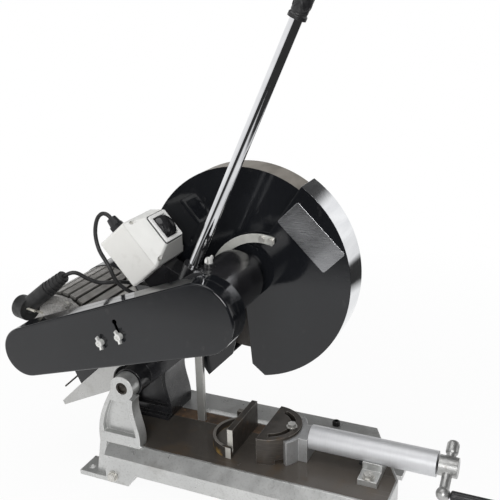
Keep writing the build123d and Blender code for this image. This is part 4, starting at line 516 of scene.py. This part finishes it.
dress(crank_alloy(), "crank_hub")
black_plastic = black_moulding("black_moulding", smooth=0.26, rough=0.44)
dress(black_plastic, "cooling_fan", "cable_gland")
crank_grip = fluted_grip(start=(0.4354, -0.0703, 0.1048), length=0.092, radius=0.0095, flutes=14)
crank_handle = piece("crank_handle", [crank_grip], black_plastic, "crank", sharp=60)
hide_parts("crank_grip")


# Arm casting, motor foot and box bracket.
# Iron castings painted black gloss over a rough skin; the bracket is folded plate under the same paint.
dress(black_casting_paint("gloss_casting", dusty=0.1, smooth=0.12, rough=0.20, strength=0.20),
      "arm_casting", "motor_foot", "box_bracket")


# Return spring.
# Torsion spring of oiled round wire in the relief of the arm's sleeve; it lifts the arm after a cut.
def coil(axis, front, back, radius, wire, turns, per_turn=48, sides=12):
    """Helix about a line along Y through the axis's x and z, from front to back, with a circle of wire at
    each station: the circle lies in the direction away from the line and across the wire."""
    turn = np.linspace(0, turns, int(turns * per_turn) + 1) * 2 * np.pi
    outward = np.column_stack((np.cos(turn), 0 * turn, np.sin(turn)))
    path = np.array((axis[0], 0, axis[1])) + radius * outward
    path[:, 1] = np.linspace(front, back, len(turn))
    across = np.cross(unit(np.gradient(path, axis=0)), outward)
    return skin(path[:, None] + wire * circles(outward, across, sides))


spring_coil = coil(axis=(-0.201, 0.219), front=-0.0345, back=-0.0075, radius=0.029, wire=0.0031, turns=4)
piece("return_spring", [spring_coil], grease, "arm", sharp=60)


# Motor plate and slide screw.
# Mild steel plate welded to the arm's sleeve and sprayed silver; a thin screw behind the foot sets the belt.
dress(aluminium_lacquer("plate_lacquer", dark=(0.44, 0.44, 0.43), light=(0.54, 0.54, 0.53)), "motor_plate")
slide_rod = threaded_rod(start=(-0.360, -0.050, 0.184), end=(-0.399, -0.059, 0.148),
                         radius=0.0019, depth=0.0003, pitch=0.0016)
piece("slide_screw", [slide_rod], grease, "arm", sharp=60)


# Motor housing, end shield and pulleys, with the stator inside.
# Die-cast aluminium, bare; the housing's fins are dulled to a warm grey on the lands, and painted shade
# darkens them to black between them.
# The stator is a stack of iron sheets pressed into the housing.
motor_axis = (-0.3782, 0.294)


def from_axis(tree, axis, low, high):
    """0 to 1 as the distance from a line along Y, through the axis's x and z, goes from low to high."""
    flat = place(tree, stretch=(1, 0, 1), shift=(-axis[0], 0, -axis[1]))
    return spread(tree, measure(tree, "LENGTH", flat), low, high)


def motor_alloy(name, dark, light, fins=None):
    """Dull, scored alloy. Painted shade darkens it from the tips of the fins down to their roots, where the
    distances of root and tip from the motor's axis are given."""
    material, tree, shader = finish(name, roughness=0.42, metallic=0.65)
    shade = between(tree, cloud(tree, 26), dark, light)
    dirt = cloud(tree, 48, 0.55, 0.78, detail=8)
    shade = veil(tree, shade, dirt, share=0.5, colour=(0.15, 0.14, 0.125))
    scored = cloud(tree, 130, 0.45, 0.6, detail=2, stretch=(3, 0.04, 3))
    shade = veil(tree, shade, scored, share=0.35, colour=(0.16, 0.15, 0.14))
    if fins:
        # Painted shade: near black from the fins' tips into the grooves between them.
        shade = between(tree, from_axis(tree, motor_axis, *fins), (0.045, 0.042, 0.038), shade)
    coat(tree, shader, shade, cloud(tree, 80), smooth=0.34, rough=0.54)
    relief(tree, shader, cloud(tree, 520, detail=5), depth=0.00015, strength=0.5, edge=0.0008)
    return material


dress(motor_alloy("fin_alloy", dark=(0.34, 0.33, 0.31), light=(0.47, 0.46, 0.44), fins=(0.0715, 0.0775)),
      "motor_housing")
dress(motor_alloy("shield_alloy", dark=(0.50, 0.49, 0.475), light=(0.64, 0.63, 0.61)),
      "motor_front_shield", "motor_pulley", "spindle_pulley")


def core_iron():
    """Stacked laminations: thin dark lines across the axis."""
    material, tree, shader = finish("core_iron", roughness=0.5, metallic=0.8)
    stack = cloud(tree, 300, 0.4, 0.6, detail=2, stretch=(0.02, 5, 0.02))
    coat(tree, shader, between(tree, stack, (0.07, 0.06, 0.055), (0.2, 0.185, 0.17)))
    relief(tree, shader, stack, depth=0.0001, strength=0.5)
    return material


dress(core_iron(), "motor_stator")


# Belt guard, fan cover, spindle housing and fixed wheel guard.
# Pressed steel sheet, and the housing's turned tube, stoved black gloss with a soft orange-peel skin.
# The top of the fixed guard is bare of gloss where grinding dust has settled and baked on.
spindle_axis = (-0.0021, 0.4361)


def black_enamel(name):
    """Black gloss enamel with fine handling marks. Its colour and sheen are left open for a rim."""
    material, tree, shader = finish(name, roughness=0.16)
    shade = between(tree, cloud(tree, 6), (0.0056, 0.0062, 0.0076), (0.0108, 0.0117, 0.0138))
    rubbed = cloud(tree, 60, 0.64, 0.82, detail=10)
    shade = veil(tree, shade, rubbed, share=0.25, colour=(0.07, 0.068, 0.066))
    sheen = spread(tree, cloud(tree, 24), 0, 1, start=0.06, end=0.13)
    relief(tree, shader, cloud(tree, 120, detail=3), depth=0.00006, strength=0.25, edge=0.0012)
    return material, tree, shader, shade, sheen


def blend(tree, pattern, first, second):
    """Number that goes from the first to the second as the pattern goes from 0 to 1."""
    mix = tree.nodes.new("ShaderNodeMix")
    for index, value in ((0, pattern), (2, first), (3, second)):
        feed(tree, value, mix.inputs[index])
    return mix.outputs[0]


enamel, tree, shader, shade, sheen = black_enamel("black_enamel")
tree.links.new(shade, shader.inputs["Base Color"])
tree.links.new(sheen, shader.inputs["Roughness"])
dress(enamel, "belt_guard_cover", "belt_guard_pan", "fan_cover", "spindle_housing")

dusty, tree, shader, shade, sheen = black_enamel("dusty_enamel")
rim = joined(tree, "MULTIPLY", from_axis(tree, spindle_axis, low=0.2060, high=0.2070),
             facing(tree, up, 0.15, 0.5), facing(tree, front, 0.6, 0.3))
settled = cloud(tree, 40, detail=8, stretch=(1, 0.3, 1))
dust = between(tree, settled, (0.16, 0.145, 0.125), (0.29, 0.265, 0.235))
tree.links.new(between(tree, rim, shade, dust), shader.inputs["Base Color"])
tree.links.new(blend(tree, rim, sheen, 0.55), shader.inputs["Roughness"])
dress(dusty, "fixed_wheel_guard")


# Moving wheel guard.
# Black enamelled cheek with a rim of polished steel strip, welded on and left bright.
polished, tree, shader, shade, sheen = black_enamel("rimmed_enamel")
rim = joined(tree, "MULTIPLY", from_axis(tree, spindle_axis, low=0.2140, high=0.2150),
             facing(tree, front, 0.7, 0.4))
brushed = cloud(tree, 50, detail=5, stretch=(1, 0.15, 1))
steel = between(tree, brushed, (0.60, 0.61, 0.63), (0.74, 0.75, 0.765))
tree.links.new(between(tree, rim, shade, steel), shader.inputs["Base Color"])
tree.links.new(rim, shader.inputs["Metallic"])
rim_sheen = spread(tree, brushed, 0, 1, start=0.06, end=0.12)
tree.links.new(blend(tree, rim, sheen, rim_sheen), shader.inputs["Roughness"])
dress(polished, "moving_wheel_guard")


# Guard plate.
# Blank plate of brushed aluminium, glued to the moving guard's cheek and slightly dished from handling.
plate_middle = np.array((0.1397, 0.0220, 0.5230))
plate_long = np.array((0.7095, 0, -0.7047))
plate_short = np.array((0.7047, 0, 0.7095))
plate_length, plate_width, plate_corner = 0.1292, 0.0586, 0.004


def rounded_outline(length, width, corner, steps=8):
    """Corner arcs of a rectangle, one after the other, as (long, short) places."""
    turn = (np.arange(4)[:, None] + np.linspace(0, 1, steps)[None]) * np.pi / 2
    signs = np.array(((1, 1), (-1, 1), (-1, -1), (1, -1)))
    centres = signs * (length / 2 - corner, width / 2 - corner)
    return (centres[:, None] + corner * np.stack((np.cos(turn), np.sin(turn)), axis=-1)).reshape(-1, 2)


def blank_plate():
    """Three rounded rectangles one above the other: foot, edge, and the face drawn in by its rounding."""
    rings = []
    for drawn_in, proud in ((0, -0.0002), (0, 0.0005), (0.0004, 0.0008)):
        flat = rounded_outline(plate_length - 2 * drawn_in, plate_width - 2 * drawn_in, plate_corner)
        rings.append(plate_middle + flat[:, :1] * plate_long + flat[:, 1:] * plate_short - (0, proud, 0))
    return skin(np.array(rings))


def brushed_plate():
    """Brushed along its length. Its dishing is a bump, high at one end, level about the middle and low at
    the other end."""
    material, tree, shader = finish("brushed_plate", roughness=0.3, metallic=1.0)
    lines = cloud(tree, 900, detail=2, stretch=(0.03, 1, 2), turn=(0, -np.pi / 4, 0))
    shade = between(tree, lines, (0.34, 0.345, 0.36), (0.52, 0.525, 0.54))
    shade = between(tree, edge_wear_and_highlight(tree, 0.0008), shade, (0.8, 0.8, 0.81))
    coat(tree, shader, shade, lines, smooth=0.2, rough=0.34)
    dish = tree.nodes.new("ShaderNodeValToRGB")
    dish.color_ramp.interpolation = "B_SPLINE"
    ramp = dish.color_ramp.elements
    ramp[0].color, ramp[1].color = (1, 1, 1, 1), (0, 0, 0, 1)
    for place_along, height in ((0.10, 0.85), (0.32, 0.40), (0.75, 0.38)):
        ramp.new(place_along).color = (height, height, height, 1)
    middle = float(plate_middle @ plate_long)
    run = along(tree, tuple(plate_long), middle - plate_length / 2, middle + plate_length / 2)
    tree.links.new(run, dish.inputs["Fac"])
    relief(tree, shader, dish.outputs["Color"], depth=0.0030, strength=1.0, edge=0.0008)
    return material


piece("guard_plate", [blank_plate()], brushed_plate(), "guard", sharp=20)


# Guard strap.
# Curved link of flat zinc-plated bar between the guard's cheek and the arm.
def plated_bar():
    material, tree, shader = finish("plated_bar", roughness=0.40, metallic=0.4)
    shade = between(tree, cloud(tree, 40), (0.58, 0.58, 0.54), (0.68, 0.68, 0.64))
    shade = between(tree, edge_wear_and_highlight(tree, 0.0009), shade, (0.82, 0.82, 0.79))
    coat(tree, shader, shade, cloud(tree, 90), smooth=0.32, rough=0.5)
    relief(tree, shader, cloud(tree, 600, detail=4), depth=0.00008, strength=0.5, edge=0.001)
    return material


dress(plated_bar(), "guard_strap")


# Cutting wheel.
# Resin-bonded abrasive disc: dark grains in a brown-black bond, clamped between the spindle's flanges.
def abrasive_disc():
    material, tree, shader = finish("abrasive_disc", roughness=0.85)
    grain = cloud(tree, 700, 0.35, 0.65, detail=4)
    coat(tree, shader, between(tree, grain, (0.02, 0.018, 0.017), (0.12, 0.11, 0.10)))
    relief(tree, shader, grain, depth=0.0004, strength=0.8)
    return material


dress(abrasive_disc(), "cutting_wheel")


# Guard clip.
# Folded spring-steel clip that holds the pan's rear edge, blackened like the screws.
def folded_strip(path, across, width, thickness):
    """Rectangle carried along a path: its width lies along one direction, its thickness across the path."""
    lift = np.cross(unit(np.gradient(path, axis=0)), across)
    corners = np.array(((0.5, 0.5), (-0.5, 0.5), (-0.5, -0.5), (0.5, -0.5)))
    return skin(path[:, None] + corners[None, :, :1] * thickness * lift[:, None]
                + corners[None, :, 1:] * width * across)


clip_middle = np.array((-0.1785, 0, 0.4195))
clip_slope = np.array((0.9345, 0, 0.3560))
clip_lift = np.array((-0.3560, 0, 0.9345))
clip_section = np.array(((-0.1402, -0.012), (-0.1398, -0.004), (-0.1402, 0.0005), (-0.1425, 0.0022),
                         (-0.150, 0.0018), (-0.158, 0.0014), (-0.1615, 0.0030)))
clip_path = clip_middle + clip_section[:, :1] * (0, 1, 0) + clip_section[:, 1:] * clip_lift
clip_strip = folded_strip(clip_path, clip_slope, width=0.020, thickness=0.0016)
piece("guard_clip", [clip_strip], oxide, "arm", sharp=50)


# Drive belt and plug.
# Black rubber, dull, with a fabric skin on the belt and a moulded skin on the plug.
def black_rubber():
    material, tree, shader = finish("black_rubber", roughness=0.55)
    shade = between(tree, cloud(tree, 60), (0.011, 0.011, 0.011), (0.028, 0.028, 0.029))
    coat(tree, shader, shade, cloud(tree, 90), smooth=0.40, rough=0.62)
    relief(tree, shader, cloud(tree, 800, detail=3), depth=0.0001, strength=0.5, edge=0.0008)
    return material


rubber = black_rubber()
dress(rubber, "drive_belt", "plug_body")


# Handle tube.
# Round steel tube, polished and chromium plated, pinched in the arm's socket.
def bright_chrome():
    material, tree, shader = finish("bright_chrome", roughness=0.06, metallic=1.0)
    shade = between(tree, cloud(tree, 30), (0.60, 0.605, 0.62), (0.70, 0.705, 0.72))
    stain = cloud(tree, 90, 0.60, 0.80, detail=9)
    shade = veil(tree, shade, stain, share=0.3, colour=(0.30, 0.29, 0.28))
    coat(tree, shader, shade, cloud(tree, 120, 0.35, 0.75, detail=8), smooth=0.04, rough=0.13)
    relief(tree, shader, cloud(tree, 60, detail=2), depth=0.00004, strength=0.2)
    return material


dress(bright_chrome(), "handle_tube")


# Handle grip.
# Moulded rubber sleeve pushed on the tube: a collar at its foot, then crossed ridges, and a domed end.
grip_foot = np.array((0.15204, -0.080, 0.91605))
grip_line = np.array((0.4242, 0, 0.9056))


def ridged_grip(length=0.104, radius=0.0146, ridge=0.0011, starts=4, lead=0.030):
    """Sleeve: the radius is the collar's at the foot, drops to a groove, then adds a ridge where either of
    two opposite spirals peaks, and falls to a dome along a quarter circle at the top."""
    collar_rise, collar_end, groove_depth, groove_middle, soft = 0.0014, 0.0075, 0.0006, 0.0095, 0.0012
    ridges_from, ridges_to, fade_length, dome_length = 0.014, length - 0.012, 0.004, 0.010
    stations = np.concatenate((np.linspace(0, 0.012, 14), np.linspace(0.013, length, 100)))
    angle = starts * full_turn(96)
    spiral = 2 * np.pi * stations[:, None] / lead
    peaks = np.maximum(np.cos(angle + spiral), np.cos(angle - spiral))
    lattice = np.clip((peaks - 0.55) / 0.35, 0, 1)
    fade = np.clip(np.minimum(stations - ridges_from, ridges_to - stations) / fade_length, 0, 1)
    collar = collar_rise * np.clip((collar_end - stations) / soft, 0, 1)
    groove = groove_depth * np.exp(-((stations - groove_middle) / soft) ** 2)
    dome = np.sqrt(np.clip(1 - np.clip((stations - length + dome_length) / 0.0102, 0, 1) ** 2, 0, 1))
    radii = (radius + (collar - groove)[:, None] + ridge * fade[:, None] * lattice) * dome[:, None]
    return skin(turned(grip_foot, grip_line, stations, radii))


grip_rubber = black_moulding("grip_rubber", smooth=0.34, rough=0.5)
hand_grip = piece("hand_grip", [ridged_grip()], grip_rubber, "arm", sharp=50)
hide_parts("handle_grip")


# Switch box, lid and bezel.
# Moulded ABS: off-white box, white bezel, and a lid given a darker grey as painted shade, all with a fine
# spark texture.
# The lid is screwed to the box, and the bezel snaps into the lid.
def box_moulding(name, dark, light):
    material, tree, shader = finish(name, roughness=0.42)
    shade = between(tree, cloud(tree, 16), dark, light)
    grime = cloud(tree, 40, 0.62, 0.82, detail=9)
    shade = veil(tree, shade, grime, share=0.22, colour=(0.34, 0.31, 0.26))
    coat(tree, shader, shade, cloud(tree, 70), smooth=0.34, rough=0.5)
    relief(tree, shader, cloud(tree, 1100, detail=2), depth=0.00006, strength=0.5, edge=0.0014)
    return material


dress(box_moulding("box_moulding", dark=(0.79, 0.785, 0.755), light=(0.84, 0.835, 0.805)), "switch_box")
# The lid's darker grey is painted shade on its sloping face.
dress(box_moulding("lid_painted_shade_moulding", dark=(0.65, 0.65, 0.63), light=(0.71, 0.71, 0.685)), "switch_lid")
dress(box_moulding("bezel_moulding", dark=(0.84, 0.84, 0.83), light=(0.88, 0.88, 0.87)), "switch_bezel")


# Bezel gasket.
# Thin black rubber cord squeezed out round the bezel where it meets the lid.
lid_top = np.array((-0.13688, -0.0370, 0.53311))
lid_down = np.array((0.6547, 0, -0.7559))
lid_out = np.array((0.7559, 0, 0.6547))
gasket_lift = 0.0004


def bead(path, lift, radius, sides=10):
    """Round bead along a closed path: a circle at each point, in the lift direction and across the path."""
    ahead = unit(np.roll(path, -1, axis=0) - np.roll(path, 1, axis=0))
    return skin(path[:, None] + radius * circles(lift, np.cross(ahead, lift), sides), closed=True)


gasket_flat = rounded_outline(length=0.0618, width=0.0598, corner=0.005, steps=12)
gasket_path = lid_top + gasket_flat[:, :1] * lid_down + gasket_flat[:, 1:] * (0, 1, 0) + gasket_lift * lid_out
piece("bezel_gasket", [bead(gasket_path, lid_out, radius=0.0011)], rubber, "arm", sharp=60)


# Switch rocker.
# Moulded black acetal, polished, with a domed top; it tips on a pin in the bezel.
dress(black_moulding("rocker_gloss", smooth=0.05, rough=0.12), "switch_rocker")


# Plug pins.
# Turned brass, dulled pale from use and moulded into the plug.
def pale_brass():
    material, tree, shader = finish("pale_brass", roughness=0.28, metallic=0.5)
    coat(tree, shader, between(tree, cloud(tree, 200), (0.68, 0.65, 0.56), (0.78, 0.76, 0.69)))
    relief(tree, shader, cloud(tree, 900, detail=2), depth=0.00004, strength=0.4, edge=0.0004)
    return material


dress(pale_brass(), "plug_pins")


# Power cord.
# Round black rubber lead, 8 mm. It leaves the gland, falls behind the belt guard, makes one loop and
# lies over the motor to the plug.
cord_route = [
    (-0.22507, -0.07500, 0.54404), (-0.23227, -0.07500, 0.55235), (-0.240, -0.075, 0.5585),
    (-0.251, -0.075, 0.5595), (-0.261, -0.076, 0.551), (-0.2675, -0.076, 0.536), (-0.270, -0.077, 0.518),
    (-0.267, -0.079, 0.500), (-0.260, -0.081, 0.482), (-0.247, -0.083, 0.466), (-0.236, -0.084, 0.450),
    (-0.231, -0.082, 0.431), (-0.223, -0.076, 0.415), (-0.211, -0.066, 0.401), (-0.198, -0.052, 0.389),
    (-0.1865, -0.035, 0.381), (-0.1785, -0.020, 0.378), (-0.1785, -0.005, 0.378), (-0.186, 0.008, 0.3795),
    (-0.1995, 0.0155, 0.3815), (-0.2145, 0.0145, 0.385), (-0.227, 0.0065, 0.3885), (-0.236, -0.0065, 0.392),
    (-0.246, -0.024, 0.400), (-0.257, -0.040, 0.405), (-0.268, -0.053, 0.406), (-0.282, -0.064, 0.408),
    (-0.293, -0.072, 0.415), (-0.303, -0.079, 0.422), (-0.313, -0.0855, 0.4315), (-0.322, -0.092, 0.435),
    (-0.33393, -0.09940, 0.43050), (-0.34466, -0.10150, 0.42175),
]
cord_radius = 0.004
cord_line = bpy.data.curves.new("power_lead", "CURVE")
cord_line.dimensions = "3D"
spline = cord_line.splines.new("NURBS")
spline.points.add(len(cord_route) - 1)
spline.points.foreach_set("co", np.column_stack((cord_route, np.ones(len(cord_route)))).ravel())
spline.order_u = 3
spline.use_endpoint_u = True
spline.resolution_u = 8
cord_line.bevel_depth = cord_radius
cord_line.bevel_resolution = 4
cord_line.use_fill_caps = True
cord_line.materials.append(rubber)
power_lead = bpy.data.objects.new("power_lead", cord_line)
bpy.context.scene.collection.objects.link(power_lead)
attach(power_lead, "arm")
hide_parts("power_cord")


# Studio: a pale table that runs back to a white surround, two soft lamps, and the photograph's camera.
# In reflections the table ends 1.2 m before the object, 1 m behind it and 0.75 m to its right; the room in
# front and above is dim, and white screens stand behind and on the left.
def studio_floor():
    """Pale table that shows white to the camera further out, and still takes the object's shadow near it."""
    material, tree, shader = finish("studio_floor", roughness=0.9)
    shader.inputs["Base Color"].default_value = (0.86, 0.86, 0.86, 1)
    ray = tree.nodes.new("ShaderNodeLightPath").outputs
    table = joined(tree, "MULTIPLY", along(tree, back, -1.40, -1.00),
                   along(tree, front, -1.15, -0.95), along(tree, left, -0.80, -0.70))
    rear_screen = along(tree, back, 1.9, 2.4)
    left_screen = along(tree, left, 1.5, 2.5)
    lit = joined(tree, "MAXIMUM", table, rear_screen, left_screen)
    reflected = spread(tree, lit, 0, 1, start=0.04, end=1.0)
    white = tree.nodes.new("ShaderNodeEmission")
    tree.links.new(joined(tree, "MAXIMUM", ray["Is Camera Ray"], reflected), white.inputs["Strength"])
    further_out = spread(tree, measure(tree, "LENGTH", place(tree)), 0.6, 1.6, start=0.94, end=1.0)
    shown = joined(tree, "MULTIPLY", ray["Is Camera Ray"], further_out)
    mirrored = joined(tree, "MAXIMUM", ray["Is Glossy Ray"], ray["Is Transmission Ray"])
    both = tree.nodes.new("ShaderNodeMixShader")
    tree.links.new(joined(tree, "MAXIMUM", shown, mirrored), both.inputs[0])
    tree.links.new(shader.outputs[0], both.inputs[1])
    tree.links.new(white.outputs[0], both.inputs[2])
    tree.links.new(both.outputs[0], tree.nodes["Material Output"].inputs["Surface"])
    return material


floor_reach = 150
floor_corners = [(x * floor_reach, y * floor_reach, 0) for x, y in ((-1, -1), (1, -1), (1, 1), (-1, 1))]
floor_mesh = bpy.data.meshes.new("floor")
floor_mesh.from_pydata(floor_corners, [], [(0, 1, 2, 3)])
floor_mesh.materials.append(studio_floor())
floor = bpy.data.objects.new("floor", floor_mesh)
bpy.context.scene.collection.objects.link(floor)

world = bpy.data.worlds.new("studio")
world.use_nodes = True
bpy.context.scene.world = world
sky = world.node_tree
ray = sky.nodes.new("ShaderNodeLightPath").outputs
direction = sky.nodes.new("ShaderNodeTexCoord")
parts = sky.nodes.new("ShaderNodeSeparateXYZ")
sky.links.new(direction.outputs["Generated"], parts.inputs[0])
behind = spread(sky, parts.outputs["Y"], -0.30, 0.20)
leftward = spread(sky, parts.outputs["X"], -0.25, -0.45)
low_down = spread(sky, parts.outputs["Z"], 0.34, 0.28)
screens = joined(sky, "MULTIPLY", joined(sky, "MAXIMUM", behind, leftward), low_down)
surround = spread(sky, screens, 0, 1, start=0.08, end=1.15)
mirrored = joined(sky, "MAXIMUM", ray["Is Glossy Ray"], ray["Is Transmission Ray"])
diffuse_level, camera_level = 0.38, 1.0
unseen = blend(sky, mirrored, diffuse_level, surround)
background = sky.nodes["Background"].inputs
sky.links.new(blend(sky, ray["Is Camera Ray"], unseen, camera_level), background["Strength"])
background["Color"].default_value = (1, 1, 1, 1)

lamp_aim = Vector((-0.05, 0.0, 0.35))
for name, spot, size, power in (("top_lamp", Vector((-0.35, -0.35, 2.4)), 1.8, 21),
                                ("front_lamp", Vector((0.75, -2.6, 1.35)), 1.2, 40)):
    lamp = bpy.data.lights.new(name, "AREA")
    lamp.size = size
    lamp.energy = power
    holder = bpy.data.objects.new(name, lamp)
    holder.visible_camera = False
    turn = (lamp_aim - spot).to_track_quat("-Z", "Y")
    holder.matrix_world = Matrix.Translation(spot) @ turn.to_matrix().to_4x4()
    bpy.context.scene.collection.objects.link(holder)

camera_place = Vector((0.5981, -1.254, 0.9596))
camera_right = Vector((0.9127, 0.4079, -0.0235))
camera_up = Vector((-0.1105, 0.3019, 0.9470))
camera_back = Vector((0.3934, -0.8617, 0.3206))
camera_data = bpy.data.cameras.new("photo_camera")
camera_data.sensor_width = 36
camera_data.lens = 55.34
camera = bpy.data.objects.new("photo_camera", camera_data)
camera_turn = Matrix((camera_right, camera_up, camera_back)).transposed().to_4x4()
camera.matrix_world = Matrix.Translation(camera_place) @ camera_turn
bpy.context.scene.collection.objects.link(camera)
bpy.context.scene.camera = camera
bpy.context.scene.view_settings.view_transform = "Standard"
